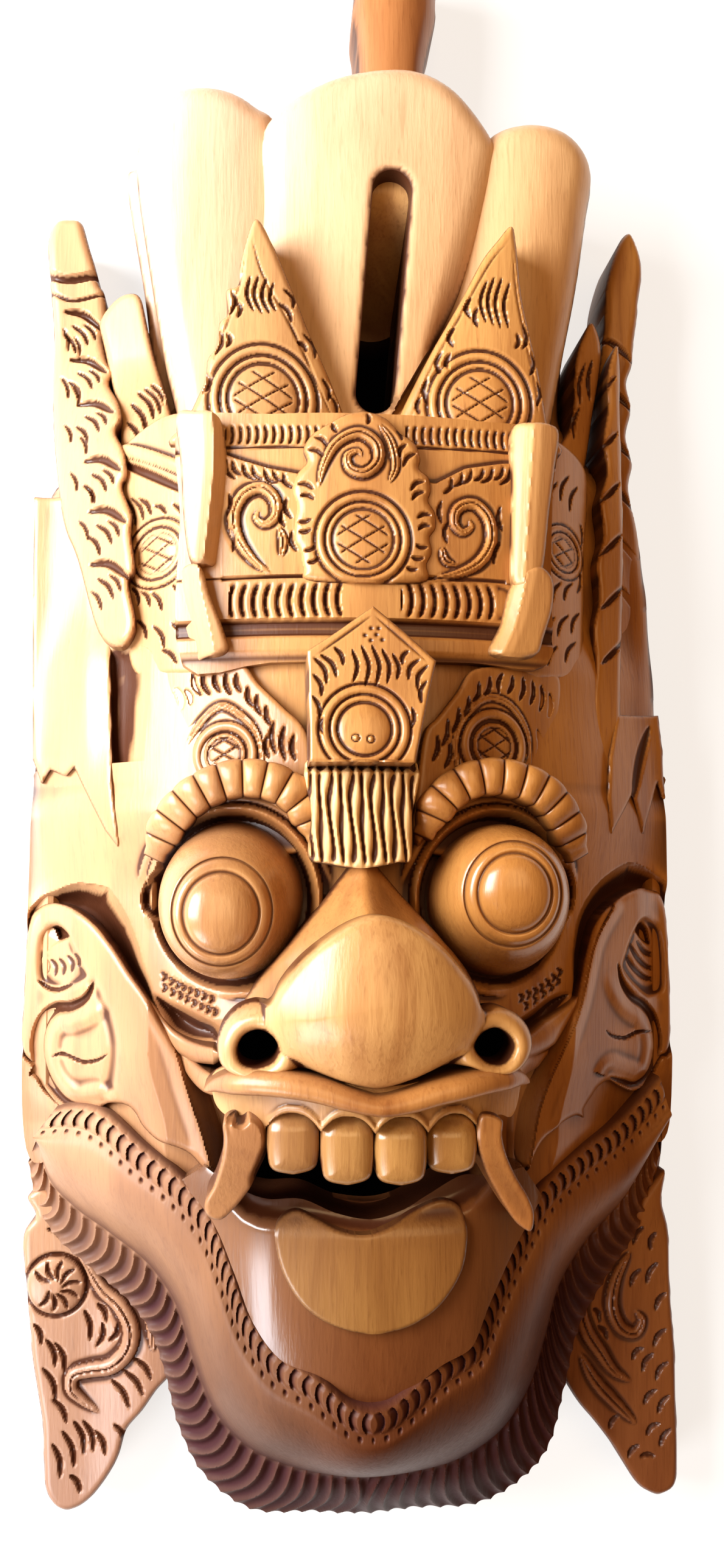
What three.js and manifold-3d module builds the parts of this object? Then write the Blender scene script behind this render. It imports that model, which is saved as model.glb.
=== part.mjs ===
// Carved wooden barong mask: a lion-like guardian's face under a tall leaf crown, cut from one
// block of pale wood and hollowed from behind. The mask lies on its back rim: +X is the viewer's
// right, +Y runs up to the crown and +Z comes out of the face. Lengths are millimetres. The carving
// is laid out from a line between its chin and crown, then moved so that the part's origin is the
// middle of its back.
import * as THREE from 'three';
import { mergeVertices } from 'three/addons/utils/BufferGeometryUtils.js';
import Module from 'manifold-3d';

const wasm = await Module();
wasm.setup();

// Driving dimensions
const chinBottom = -256;
const topknotTop = 290;
const wall = 15;
const eyeY = -54;
const eyeX = 40;
const noseY = -80;
const bandBottom = 16;
const bandTop = 89;
const crownTop = 212;
const slotRadius = 6.2;
const slotBack = 24;
const toothWidth = 14;
const gumZ = 104;

const point = (x, y, z) => new THREE.Vector3(x, y, z);
const flat = (x, y) => new THREE.Vector2(x, y);
const mix = THREE.MathUtils.lerp;

// ---------------------------------------------------------------------------------------------
// Making solids
// ---------------------------------------------------------------------------------------------

// A closed skin over a stack of rings that all have the same number of points.
function skin(rings) {
  const count = rings[0].length;
  const positions = rings.flat().flatMap((p) => [p.x, p.y, p.z]);
  const index = [];
  for (let r = 0; r + 1 < rings.length; r += 1) {
    for (let i = 0; i < count; i += 1) {
      const a = r * count + i;
      const b = r * count + ((i + 1) % count);
      index.push(a, b, a + count, b, b + count, a + count);
    }
  }
  const last = rings.length - 1;
  for (const [ring, flip] of [[0, false], [last, true]]) {
    const middle = rings[ring].reduce((sum, p) => sum.add(p), point(0, 0, 0)).divideScalar(count);
    const hub = positions.length / 3;
    positions.push(middle.x, middle.y, middle.z);
    for (let i = 0; i < count; i += 1) {
      const a = ring * count + i;
      const b = ring * count + ((i + 1) % count);
      index.push(hub, flip ? a : b, flip ? b : a);
    }
  }
  const geometry = new THREE.BufferGeometry();
  geometry.setAttribute('position', new THREE.Float32BufferAttribute(positions, 3));
  geometry.setIndex(index);
  return geometry;
}

// The geometry as a solid for joining and cutting, its faces turned outwards.
function solid(source) {
  const bare = source.clone();
  bare.deleteAttribute('normal');
  bare.deleteAttribute('uv');
  const geometry = mergeVertices(bare, 1e-4);
  const vertProperties = new Float32Array(geometry.attributes.position.array);
  const triVerts = new Uint32Array(geometry.index.array);
  const corner = [point(0, 0, 0), point(0, 0, 0), point(0, 0, 0)];
  let volume = 0;
  for (let i = 0; i < triVerts.length; i += 3) {
    corner.forEach((p, k) => p.fromArray(vertProperties, 3 * triVerts[i + k]));
    volume += corner[0].dot(corner[1].clone().cross(corner[2]));
  }
  if (volume < 0) {
    for (let i = 0; i < triVerts.length; i += 3) {
      const swap = triVerts[i];
      triVerts[i] = triVerts[i + 1];
      triVerts[i + 1] = swap;
    }
  }
  return new wasm.Manifold(new wasm.Mesh({ numProp: 3, vertProperties, triVerts }));
}

// A smooth closed outline through a few points, as plan points.
function outline(corners, steps) {
  const curve = new THREE.CatmullRomCurve3(corners.map(([x, y]) => point(x, y, 0)), true, 'centripetal');
  return curve.getSpacedPoints(steps).slice(0, steps).map((p) => flat(p.x, p.y));
}

// An ellipse as plan points.
function ellipse(x, y, radiusX, radiusY, steps) {
  const angles = Array.from({ length: steps }, (_, i) => (2 * Math.PI * i) / steps);
  return angles.map((a) => flat(x + radiusX * Math.cos(a), y + radiusY * Math.sin(a)));
}

// A boss with upright sides and a domed top: rings of the outline shrink towards its spine while
// their height follows surface(x, y) plus a share of rise.
function boss({ edge, spine, bottom, surface, rise, flare = 0, shares = [1, 0.82, 0.45] }) {
  const line = new THREE.Line3(point(...spine[0], 0), point(...spine[1], 0));
  const foot = edge.map((p) => line.closestPointToPoint(point(p.x, p.y, 0), true, point(0, 0, 0)));
  const ring = (share, height) => edge.map((p, i) => {
    const x = mix(foot[i].x, p.x, share);
    const y = mix(foot[i].y, p.y, share);
    return point(x, y, height(x, y));
  });
  const rings = [ring(1 + flare, () => bottom)];
  for (const share of shares) {
    rings.push(ring(share, (x, y) => surface(x, y) + rise * Math.sqrt(1 - share * share)));
  }
  rings.push(ring(0.06, (x, y) => surface(x, y) + rise));
  return skin(rings);
}

// A raised band along a path: a rounded section whose half width and height vary along it.
function band({ path, steps, width, rise, bottom, arc = 5 }) {
  const curve = new THREE.CatmullRomCurve3(path.map((p) => point(...p)), false, 'centripetal');
  const rings = Array.from({ length: steps + 1 }, (_, i) => {
    const t = i / steps;
    const centre = curve.getPoint(t);
    const way = curve.getTangent(t).setZ(0).normalize();
    const at = (across, z) => point(centre.x - way.y * across, centre.y + way.x * across, z);
    const ring = [at(-width(t), bottom)];
    for (let k = 0; k <= arc; k += 1) {
      const angle = Math.PI * (1 - k / arc);
      ring.push(at(width(t) * Math.cos(angle), centre.z + rise(t) * Math.sin(angle)));
    }
    ring.push(at(width(t), bottom));
    return ring;
  });
  return skin(rings);
}

// A flat-sided cut or plate: a plan outline raised from bottom to top.
function plate(corners, bottom, top) {
  const shape = new THREE.Shape(corners.map(([x, y]) => flat(x, y)));
  const geometry = new THREE.ExtrudeGeometry(shape, { depth: top - bottom, bevelEnabled: false });
  return geometry.translate(0, 0, bottom);
}

// ---------------------------------------------------------------------------------------------
// The block
// ---------------------------------------------------------------------------------------------

// Cross-sections of the block from chin to crown. Each has its place, its left and right edges,
// the height of its side wall, its height on the centre line, and how square and how full it is.
const blockSections = [
  { y: -210, left: -66, right: 72, side: 14, middle: 40, square: 4, full: 6 },
  { y: -198, left: -103, right: 106, side: 20, middle: 62, square: 4, full: 8 },
  { y: -176, left: -105, right: 106, side: 22, middle: 76, square: 4, full: 8 },
  { y: -152, left: -103, right: 103.5, side: 24, middle: 78, square: 3, full: 3 },
  { y: -126, left: -108, right: 106.5, side: 26, middle: 82, square: 2.6, full: 2.2 },
  { y: -98, left: -108.7, right: 106.5, side: 28, middle: 86, square: 2.6, full: 2 },
  { y: -54, left: -107.5, right: 105.5, side: 29, middle: 76, square: 2.8, full: 1.6 },
  { y: -22, left: -107, right: 105, side: 30, middle: 80, square: 2.8, full: 1.4 },
  { y: 14, left: -106, right: 103, side: 31, middle: 80, square: 2.6, full: 1.4 },
  { y: 50, left: -105.5, right: 101, side: 31, middle: 78, square: 2.6, full: 2 },
  { y: 80, left: -104.5, right: 98, side: 30, middle: 70, square: 2.6, full: 1.8 },
  { y: 97, left: -80, right: 82, side: 28, middle: 62, square: 2.4, full: 1 },
  { y: 114, left: -69, right: 72, side: 26, middle: 54, square: 2.2, full: 0.8 },
  { y: 150, left: -70, right: 74, side: 27, middle: 50, square: 2.2, full: 0.7 },
  { y: 186, left: -72, right: 75, side: 28, middle: 50, square: 2.2, full: 0.7 },
  { y: 202, left: -60, right: 66, side: 30, middle: 46, square: 2.2, full: 0.7 },
];

// One number of the block's sections at any height up the mask, eased between sections.
function blockAt(name, y) {
  const above = blockSections.findIndex((section) => section.y >= y);
  const high = blockSections[Math.max(above, 1)];
  const low = blockSections[Math.max(above, 1) - 1];
  return mix(low[name], high[name], THREE.MathUtils.smoothstep(y, low.y, high.y));
}

function block() {
  const across = 12;
  const rings = [];
  const bottom = blockSections[0].y;
  const top = blockSections.at(-1).y;
  const steps = 25;
  for (let i = 0; i <= steps; i += 1) {
    const y = mix(bottom, top, i / steps);
    const [left, right, side] = ['left', 'right', 'side'].map((name) => blockAt(name, y));
    const [middle, square, full] = ['middle', 'square', 'full'].map((name) => blockAt(name, y));
    const ring = [point(left, y, 0)];
    for (let k = 0; k <= across; k += 1) {
      const u = -Math.cos((Math.PI * k) / across);
      const lift = (1 - Math.abs(u) ** square) ** full;
      ring.push(point(mix(left, right, (u + 1) / 2), y, side + (middle - side) * lift));
    }
    ring.push(point(right, y, 0));
    rings.push(ring);
  }
  return skin(rings);
}

// The hollow behind: a rounded bowl, open at the back, that leaves the wall all round.
function hollow() {
  const rings = [];
  const bottom = -192;
  const top = 166;
  const steps = 14;
  const across = 10;
  for (let i = 0; i <= steps; i += 1) {
    const v = -Math.cos((Math.PI * i) / steps);
    const y = mix(bottom, top, (v + 1) / 2);
    const round = (1 - Math.abs(v) ** 4) ** 0.4;
    const reach = round * (Math.min(-blockAt('left', y), blockAt('right', y)) - wall);
    const depth = 1 + round * (blockAt('middle', y) - wall);
    const ring = [point(-Math.max(reach, 1), y, -2)];
    for (let k = 0; k <= across; k += 1) {
      const u = -Math.cos((Math.PI * k) / across);
      ring.push(point(u * Math.max(reach, 1), y, depth * (1 - Math.abs(u) ** 2.6) ** 0.6));
    }
    ring.push(point(Math.max(reach, 1), y, -2));
    rings.push(ring);
  }
  return skin(rings);
}

// ---------------------------------------------------------------------------------------------
// Jaw, chin and corners
// ---------------------------------------------------------------------------------------------

// Three lines run from the left cheek round under the mouth to the right cheek: the inner rope,
// the outer rope and the chin's lowest edge.
const innerRope = [
  [-97, -125, 40], [-76, -128, 53], [-50, -147, 69], [-36, -175, 75], [0, -198, 84],
  [34, -179, 74], [50, -150, 66], [76, -134, 48], [100, -118, 38],
];
const outerRope = [
  [-106, -135, 28], [-84, -162, 34], [-60, -182, 43], [-46, -214, 47], [0, -233, 54],
  [48, -221, 46], [62, -190, 41], [82, -165, 33], [103, -135, 28],
];
const chinEdge = [
  [-107, -140, 18], [-87, -166, 20], [-64, -186, 22], [-57, -224, 18], [0, chinBottom, 16],
  [61, -237, 18], [68, -196, 22], [85, -169, 20], [104, -140, 18],
];

function jaw() {
  const [inner, outer, chin] = [innerRope, outerRope, chinEdge].map(
    (line) => new THREE.CatmullRomCurve3(line.map((p) => point(...p)), false, 'centripetal'),
  );
  const steps = 26;
  const rings = Array.from({ length: steps + 1 }, (_, i) => {
    const s = i / steps;
    const [a, b, c] = [inner, outer, chin].map((curve) => curve.getPoint(s));
    const inward = a.clone().sub(b).setZ(0).normalize();
    const roll = a.clone().lerp(b, 0.5).add(point(0, 0, 4));
    const within = a.clone().addScaledVector(inward, 7);
    return [
      c.clone().lerp(b, 0.25).setZ(0),
      c,
      c.clone().lerp(b, 0.5).add(point(0, 0, 3)),
      b.clone().addScaledVector(inward, -2),
      b.clone().add(point(0, 0, 4)),
      roll,
      a.clone().addScaledVector(inward, -3),
      a.clone().add(point(0, 0, 3)),
      within,
      within.clone().setZ(8),
    ];
  });
  return skin(rings);
}

const mouthFloor = () => boss({
  edge: outline([[-46, -141], [0, -138], [44, -141], [36, -168], [0, -194], [-36, -168]], 14),
  spine: [[-6, -160], [6, -160]],
  bottom: 10,
  surface: (x) => 78 - 0.006 * x * x,
  rise: 4,
});

function corner(side) {
  const lean = side > 0 ? 1.5 : 0;
  const edge = outline([
    [60, -172], [84, -158], [105, -152], [107, -172], [105 + lean, -205], [101 + 2 * lean, -240],
    [91 + 2 * lean, -250], [82 + 2 * lean, -238], [72 + lean, -222], [62 + lean, -208],
  ].map(([x, y]) => [side * x, y]), 20);
  return boss({
    edge,
    spine: [[side * 86, -178], [side * 92, -226]],
    bottom: 0,
    surface: (x, y) => 22 + 0.05 * (y + 200),
    rise: 6,
    flare: 0.04,
  });
}

// ---------------------------------------------------------------------------------------------
// Face
// ---------------------------------------------------------------------------------------------

// An eye is a stepped dome: the lid, the ball, the ring of the iris and the raised pupil.
function eye(side) {
  const profile = [[0, 50], [24, 50], [24, 73], [20.5, 79], [19, 84], [14.5, 89], [13.5, 94],
    [10.8, 95], [10, 98.5], [0, 100]].map(([radius, z]) => flat(radius, z));
  const tall = 1.14;
  return new THREE.LatheGeometry(profile, 14)
    .rotateX(Math.PI / 2)
    .scale(1, tall, 1)
    .translate(side * eyeX, eyeY, 0);
}

function browArch(side) {
  const lobes = 10;
  return band({
    path: [[63, -41, 74], [56, -30, 82], [40, -20, 90], [24, -26, 92], [15, -37, 88]].map(
      ([x, y, z]) => [side * x, y, z],
    ),
    steps: 2 * lobes,
    width: () => 4.6,
    rise: (t) => 2.5 + 1.8 * Math.sin(Math.PI * lobes * t) ** 2,
    bottom: 50,
    arc: 3,
  });
}

const browPanel = (side) => boss({
  edge: outline([[63, 14], [34, 15], [17, -4], [16, -34], [40, -24], [62, -36]].map(
    ([x, y]) => [side * x, y],
  ), 14),
  spine: [[side * 34, -8], [side * 48, -8]],
  bottom: 40,
  surface: (x) => 86 - 0.006 * x * x,
  rise: 3,
});

const browMedallion = (side) => boss({
  edge: ellipse(side * 40, -9, 12, 11.5, 14),
  spine: [[side * 39, -9], [side * 41, -9]],
  bottom: 60,
  surface: () => 83,
  rise: 2.5,
});

function plaque() {
  const edge = [[-18.5, -16], [9.5, -16], [15.5, 12], [-1.7, 27], [-19, 14.5]];
  const rings = [
    edge.map(([x, y]) => point(x, y, 60)),
    edge.map(([x, y]) => point(x, y, 103 - 0.2 * y)),
    edge.map(([x, y]) => point(mix(-3, x, 0.86), mix(4, y, 0.86), 106 - 0.2 * y)),
  ];
  return skin(rings);
}

// The forelock: upright waves of hair between the brows, down to the bridge of the nose.
function forelock() {
  const waves = 6;
  const across = 2 * waves;
  const ring = (y, z, grow) => {
    const line = [point(-17 - grow, y, 60)];
    for (let k = 0; k <= across; k += 1) {
      const wave = 1.6 * Math.sin((Math.PI * k) / 2) ** 2;
      line.push(point(mix(-17 - grow, 9 + grow, k / across), y, z + wave));
    }
    line.push(point(9 + grow, y, 60));
    return line;
  };
  return skin([ring(-12, 92, 0), ring(-26, 95, 0), ring(-38, 96, 1), ring(-46, 92, 2)]);
}

const bridge = () => band({
  path: [[-3, -36, 92], [-3, -50, 100], [-2, -66, 112]],
  steps: 4,
  width: (t) => 9 + 5 * t,
  rise: () => 8,
  bottom: 60,
  arc: 4,
});

const nosePad = () => boss({
  edge: outline([
    [-1.6, -57], [-13, -63], [-24, -70], [-30.5, -81], [-21, -95], [-1.6, -100.5], [16, -95],
    [26, -81], [17, -67],
  ], 18),
  spine: [[-8, noseY], [4, noseY]],
  bottom: 70,
  surface: (x, y) => 108 + 0.12 * (y - noseY),
  rise: 20,
});

const nostril = (side) => boss({
  edge: ellipse(side * 31 - 1.5, -90, 11, 10.5, 12),
  spine: [[side * 30 - 2.5, -90], [side * 32 - 0.5, -90]],
  bottom: 70,
  surface: () => 98,
  rise: 12,
});

const nostrilHole = (side) => new THREE.SphereGeometry(6.5, 12, 8)
  .translate(side * 31.5 - 1.5, -92.5, 112);

const upperLip = () => band({
  path: [[-43, -102, 92], [-30, -100, 106], [-16, -102, 113], [-1, -106, 116], [14, -103, 113],
    [27, -101, 106], [38, -102, 92]],
  steps: 14,
  width: () => 3,
  rise: () => 3,
  bottom: 60,
  arc: 4,
});

const gum = () => boss({
  edge: outline([[-43, -102], [0, -101], [38, -102], [36, -113], [0, -115], [-41, -112]], 10),
  spine: [[-30, -107], [26, -107]],
  bottom: 60,
  surface: (x) => gumZ + 4 - 0.012 * x * x,
  rise: 1,
});

function tooth(index) {
  const left = -2 + toothWidth * (index - 2);
  const drop = [0, 2, 2, 1][index];
  return boss({
    edge: outline([
      [left + 0.2, -106], [left + toothWidth - 0.2, -106], [left + toothWidth - 0.6, -121 - drop],
      [left + toothWidth - 4, -125 - drop], [left + 4, -125 - drop], [left + 0.6, -121 - drop],
    ], 10),
    spine: [[left + 6, -112], [left + 8, -118]],
    bottom: 94,
    surface: (x) => gumZ + 3 - 0.008 * x * x,
    rise: 3,
  });
}

function fang(path, wide) {
  return band({
    path,
    steps: 10,
    width: (t) => wide * (1 - 0.8 * t ** 2.2),
    rise: (t) => 5 - 3 * t,
    bottom: 66,
    arc: 5,
  });
}

const mouthCut = () => plate(
  outline([[-38, -113], [0, -110], [34, -113], [31, -134], [12, -141], [0, -144], [-18, -141],
    [-36, -138]], 24).map((p) => [p.x, p.y]),
  -2,
  97,
);

const tongue = () => boss({
  edge: ellipse(0, -152, 27, 23, 18),
  spine: [[-2, -150], [2, -150]],
  bottom: 64,
  surface: () => 87,
  rise: 5,
});

// Cheek leaves, ear drops and the bars in front of the ears
const cheekLeaf = (side) => boss({
  edge: outline([
    [98, -57], [84, -60], [66, -86], [53, -107], [44, -138], [58, -126], [76, -113], [88, -84],
  ].map(([x, y]) => [side * x, y]), 16),
  spine: [[side * 82, -76], [side * 58, -116]],
  bottom: 20,
  surface: (x) => 70 - 0.0042 * x * x,
  rise: 4,
});

const earDrop = (side) => boss({
  edge: outline([[84, -83], [98, -90], [103, -104], [94, -118], [80, -117], [76, -100]].map(
    ([x, y]) => [side * x, y],
  ), 12),
  spine: [[side * 88, -98], [side * 91, -106]],
  bottom: 10,
  surface: (x) => 50 - 0.15 * (Math.abs(x) - 80),
  rise: 5,
});

// ---------------------------------------------------------------------------------------------
// Diadem and crown
// ---------------------------------------------------------------------------------------------

const bandSurface = (x) => 86 - 0.003 * x * x;

const diadem = () => boss({
  edge: [[-56, bandBottom], [55, bandBottom], [56, bandTop], [-57, bandTop]].flatMap(([x, y], i, all) => {
    const [nextX, nextY] = all[(i + 1) % all.length];
    return Array.from({ length: 4 }, (_, k) => flat(mix(x, nextX, k / 4), mix(y, nextY, k / 4)));
  }),
  spine: [[-20, 52], [20, 52]],
  bottom: 30,
  surface: (x) => bandSurface(x) - 8,
  rise: 3,
  shares: [1, 0.9, 0.5],
});

const shield = () => boss({
  edge: outline([[-21, 88], [17, 88], [15, 74], [20, 60], [15, 41], [-3, 36], [-18, 41], [-20, 60]], 14),
  spine: [[-2, 50], [-2, 76]],
  bottom: 60,
  surface: (x) => bandSurface(x) - 2,
  rise: 5,
});

const scroll = (x, y, radius) => boss({
  edge: ellipse(x, y, radius, radius, 12),
  spine: [[x - 1, y], [x + 1, y]],
  bottom: 60,
  surface: (u) => bandSurface(u) - 4,
  rise: 5,
});

const ledge = (y, width, rise) => band({
  path: [[-54, y, 77], [-28, y, 84], [-2, y, 87], [26, y, 84], [51, y, 77]],
  steps: 8,
  width: () => width,
  rise: () => rise,
  bottom: 50,
  arc: 4,
});

function pillar(top, bottom, width) {
  return band({
    path: [top, top.map((value, i) => (value + bottom[i]) / 2), bottom],
    steps: 2,
    width: () => width,
    rise: () => 4,
    bottom: 40,
    arc: 4,
  });
}

function petal(corners, spine, surface, rise) {
  return boss({ edge: outline(corners, 20), spine, bottom: 16, surface, rise });
}

const leftPetal = () => petal(
  [[-68, 206], [-50, 209], [-33, 205], [-24, 168], [-20, 96], [-62, 92], [-71, 145], [-75, 182]],
  [[-44, 110], [-48, 186]],
  (x, y) => 44 + 0.04 * (y - 100),
  14,
);
const rightPetal = () => petal(
  [[44, 198], [62, 203], [76, 199], [79, 186], [73, 150], [64, 92], [24, 96], [30, 160]],
  [[50, 110], [58, 184]],
  (x, y) => 44 + 0.04 * (y - 100),
  14,
);
const centrePetal = () => petal(
  [[-34, 196], [-18, 206], [8, crownTop], [30, 208], [44, 191], [37, 156], [24, 126], [4, 88],
    [-16, 120], [-31, 162]],
  [[4, 112], [5, 182]],
  (x, y) => 50 + 0.06 * (y - 100),
  12,
);

const sideLeaf = (apexX, left, right) => boss({
  edge: outline([[apexX, 156], [right - 15, 122], [right, 90], [left, 90], [left + 8, 124]], 15),
  spine: [[(left + right) / 2, 100], [apexX + 1, 132]],
  bottom: 30,
  surface: (x, y) => 68 - 0.08 * (y - 90),
  rise: 5,
});

const leafMedallion = (x, radius) => boss({
  edge: ellipse(x, 98.5, radius, radius, 14),
  spine: [[x - 1, 98.5], [x + 1, 98.5]],
  bottom: 50,
  surface: () => 72,
  rise: 4,
});

// The crown's slot: a round-ended opening through the centre petal, leaning a little right.
function slot() {
  const low = flat(2.8, 105.5);
  const high = flat(8, 171.5);
  const lean = Math.atan2(high.y - low.y, high.x - low.x);
  const shape = new THREE.Shape();
  shape.absarc(low.x, low.y, slotRadius, lean + Math.PI / 2, lean + 1.5 * Math.PI, false);
  shape.absarc(high.x, high.y, slotRadius, lean - Math.PI / 2, lean + Math.PI / 2, false);
  const geometry = new THREE.ExtrudeGeometry(shape, { depth: 60, bevelEnabled: false, curveSegments: 7 });
  return geometry.translate(0, 0, slotBack);
}

// The topknot stands up behind the crown and ends in a plain rounded bud.
const topknot = () => boss({
  edge: outline([[0, 196], [0.5, 236], [-2, 260], [1, 280], [13, topknotTop], [26, 280], [28, 260],
    [23, 236], [23, 196]], 16),
  spine: [[12, 206], [13, 272]],
  bottom: 8,
  surface: () => 30,
  rise: 8,
});

// Side horns and the narrower leaves between them and the crown
function horn(corners, spine, height, bottom) {
  return boss({ edge: outline(corners, 15), spine, bottom, surface: () => height, rise: 6 });
}

const sideLeaves = () => [
  horn([[-100, 180], [-106, 174], [-104, 132], [-103, 90], [-98, 66], [-76, 74], [-82, 110], [-88, 145],
    [-93, 172]], [[-92, 84], [-98, 160]], 24, 0),
  horn([[-75, 146], [-83, 134], [-80, 108], [-74, 84], [-56, 84], [-64, 112], [-70, 130]],
    [[-67, 92], [-75, 126]], 32, 10),
  horn([[97, 182], [102, 172], [98, 136], [96, 90], [94, 66], [78, 74], [82, 108], [88, 146], [91, 172]],
    [[87, 84], [96, 160]], 24, 0),
  horn([[80, 144], [85, 132], [80, 110], [74, 84], [56, 84], [68, 108], [74, 130]],
    [[68, 92], [78, 126]], 32, 10),
];

const templeStrips = () => [
  band({
    path: [[-71, 96, 46], [-66, 60, 52], [-66, 14, 54]],
    steps: 8,
    width: () => 7,
    rise: () => 5,
    bottom: 20,
    arc: 4,
  }),
  band({
    path: [[90, 132, 30], [82, 92, 36], [79, 45, 42], [74, 2, 46]],
    steps: 10,
    width: () => 4.5,
    rise: () => 4,
    bottom: 12,
    arc: 4,
  }),
];

// ---------------------------------------------------------------------------------------------
// Assembly
// ---------------------------------------------------------------------------------------------

const join = (geometries) => wasm.Manifold.union(geometries.map(solid));

const head = join([
  block(), jaw(), mouthFloor(), corner(-1), corner(1),
  leftPetal(), rightPetal(), centrePetal(), topknot(), ...sideLeaves(), ...templeStrips(),
]);

const carving = join([
  eye(-1), eye(1), browPanel(-1), browPanel(1), browArch(-1), browArch(1),
  browMedallion(-1), browMedallion(1), plaque(), forelock(), bridge(), nosePad(), nostril(-1), nostril(1),
  upperLip(), gum(), tongue(), cheekLeaf(-1), cheekLeaf(1), earDrop(-1), earDrop(1),
  diadem(), shield(), scroll(-33, 63, 9), scroll(31, 64, 9), ledge(21, 3.5, 2), ledge(34.5, 6, 3),
  pillar([-51, 87, 76], [-49, 46, 79], 5), pillar([-52.5, 40, 79], [-49, 18, 79], 5),
  pillar([49, 87, 76], [45, 46, 79], 5), pillar([47, 40, 79], [43, 20, 79], 5),
  sideLeaf(-35, -55, -6), sideLeaf(44.5, 9, 57), leafMedallion(-32.5, 15.5), leafMedallion(34, 15),
]);

const openings = join([hollow(), slot()]);
const mouthPieces = join([
  ...[0, 1, 2, 3].map(tooth),
  fang([[-35, -108, 96], [-35.3, -120, 98], [-38.5, -129, 94], [-44.5, -138, 84]], 5.4),
  fang([[30.5, -108, 96], [30, -119, 98], [33, -129, 94], [39, -140, 84]], 4.4),
]);
const cuts = join([mouthCut(), nostrilHole(-1), nostrilHole(1)]);

const whole = head.add(carving).subtract(openings).subtract(cuts).add(mouthPieces);

function geometryOf(manifold) {
  const mesh = manifold.getMesh();
  const geometry = new THREE.BufferGeometry();
  geometry.setAttribute('position', new THREE.Float32BufferAttribute(mesh.vertProperties, 3));
  geometry.setIndex(new THREE.Uint32BufferAttribute(mesh.triVerts, 1));
  geometry.computeVertexNormals();
  return geometry;
}

const wood = new THREE.MeshStandardMaterial({ color: 0xc8965a, roughness: 0.42, metalness: 0 });
const mask = new THREE.Mesh(geometryOf(whole.translate(0, -(topknotTop + chinBottom) / 2, 0)), wood);
mask.name = 'mask';

const group = new THREE.Group();
group.add(mask);

export default group;
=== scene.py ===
import math

import bpy
import numpy as np
from mathutils import Matrix


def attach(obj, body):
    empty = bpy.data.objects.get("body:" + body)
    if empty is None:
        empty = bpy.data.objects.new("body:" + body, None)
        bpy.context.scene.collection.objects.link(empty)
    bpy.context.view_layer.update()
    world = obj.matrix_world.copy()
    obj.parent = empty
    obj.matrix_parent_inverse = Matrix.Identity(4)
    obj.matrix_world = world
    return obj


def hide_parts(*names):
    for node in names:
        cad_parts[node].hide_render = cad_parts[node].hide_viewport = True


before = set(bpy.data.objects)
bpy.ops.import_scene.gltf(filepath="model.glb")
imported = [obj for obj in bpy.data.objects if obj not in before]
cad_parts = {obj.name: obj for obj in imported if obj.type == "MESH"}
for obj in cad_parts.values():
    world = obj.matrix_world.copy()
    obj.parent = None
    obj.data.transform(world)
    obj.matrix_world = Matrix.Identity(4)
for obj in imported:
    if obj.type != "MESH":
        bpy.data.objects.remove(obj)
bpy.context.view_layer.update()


# ---- The wood --------------------------------------------------------------------------------
# The mask is one piece of pale tropical hardwood, pale at the crown and darker towards the chin,
# that darkening partly painted shade. It is rubbed with a brown stain that stays in the cuts, then
# waxed to a satin gloss; the same dark colour is also painted into recesses, creases and the feet of
# walls as shade.

class Shade:
    """One output of a finish's nodes; sums on it add Math nodes."""

    def __init__(self, bench, socket):
        self.bench = bench
        self.socket = socket

    def sum(self, kind, first, second):
        return self.bench.node("ShaderNodeMath", {"operation": kind}, {0: first, 1: second})

    def __add__(self, other):
        return self.sum("ADD", self, other)

    def __radd__(self, other):
        return self.sum("ADD", other, self)

    def __sub__(self, other):
        return self.sum("SUBTRACT", self, other)

    def __mul__(self, other):
        return self.sum("MULTIPLY", self, other)

    def __rmul__(self, other):
        return self.sum("MULTIPLY", other, self)

    def kept(self):
        """The value held between 0 and 1."""
        return self.bench.node("ShaderNodeClamp", {}, {"Value": self})


class Bench:
    """A new finish and the node tree it is mixed in."""

    def __init__(self, name):
        self.finish = bpy.data.materials.new(name)
        self.finish.use_nodes = True
        self.tree = self.finish.node_tree
        self.shader = self.tree.nodes["Principled BSDF"]

    def node(self, kind, settings, sockets, out=0):
        """A new node with its settings made and its sockets fed; gives back one output."""
        made = self.tree.nodes.new(kind)
        for key, value in settings.items():
            if key == "stops":
                ramp = made.color_ramp
                while len(ramp.elements) < len(value):
                    ramp.elements.new(0.5)
                for stop, (place, colour) in zip(ramp.elements, value):
                    stop.position = place
                    stop.color = (*colour, 1)
            else:
                setattr(made, key, value)
        for key, value in sockets.items():
            self.feed(made.inputs[key], value)
        return Shade(self, made.outputs[out])

    def feed(self, socket, value):
        """Links an output to a socket, or sets the socket to a plain value."""
        if isinstance(value, Shade):
            self.tree.links.new(value.socket, socket)
        else:
            socket.default_value = value

    def mix(self, share, first, second, blend="MIX"):
        """Two colours mixed by share."""
        settings = {"data_type": "RGBA", "blend_type": blend}
        first = first if isinstance(first, Shade) else (*first, 1)
        second = second if isinstance(second, Shade) else (*second, 1)
        return self.node("ShaderNodeMix", settings, {0: share, 6: first, 7: second}, 2)


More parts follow.
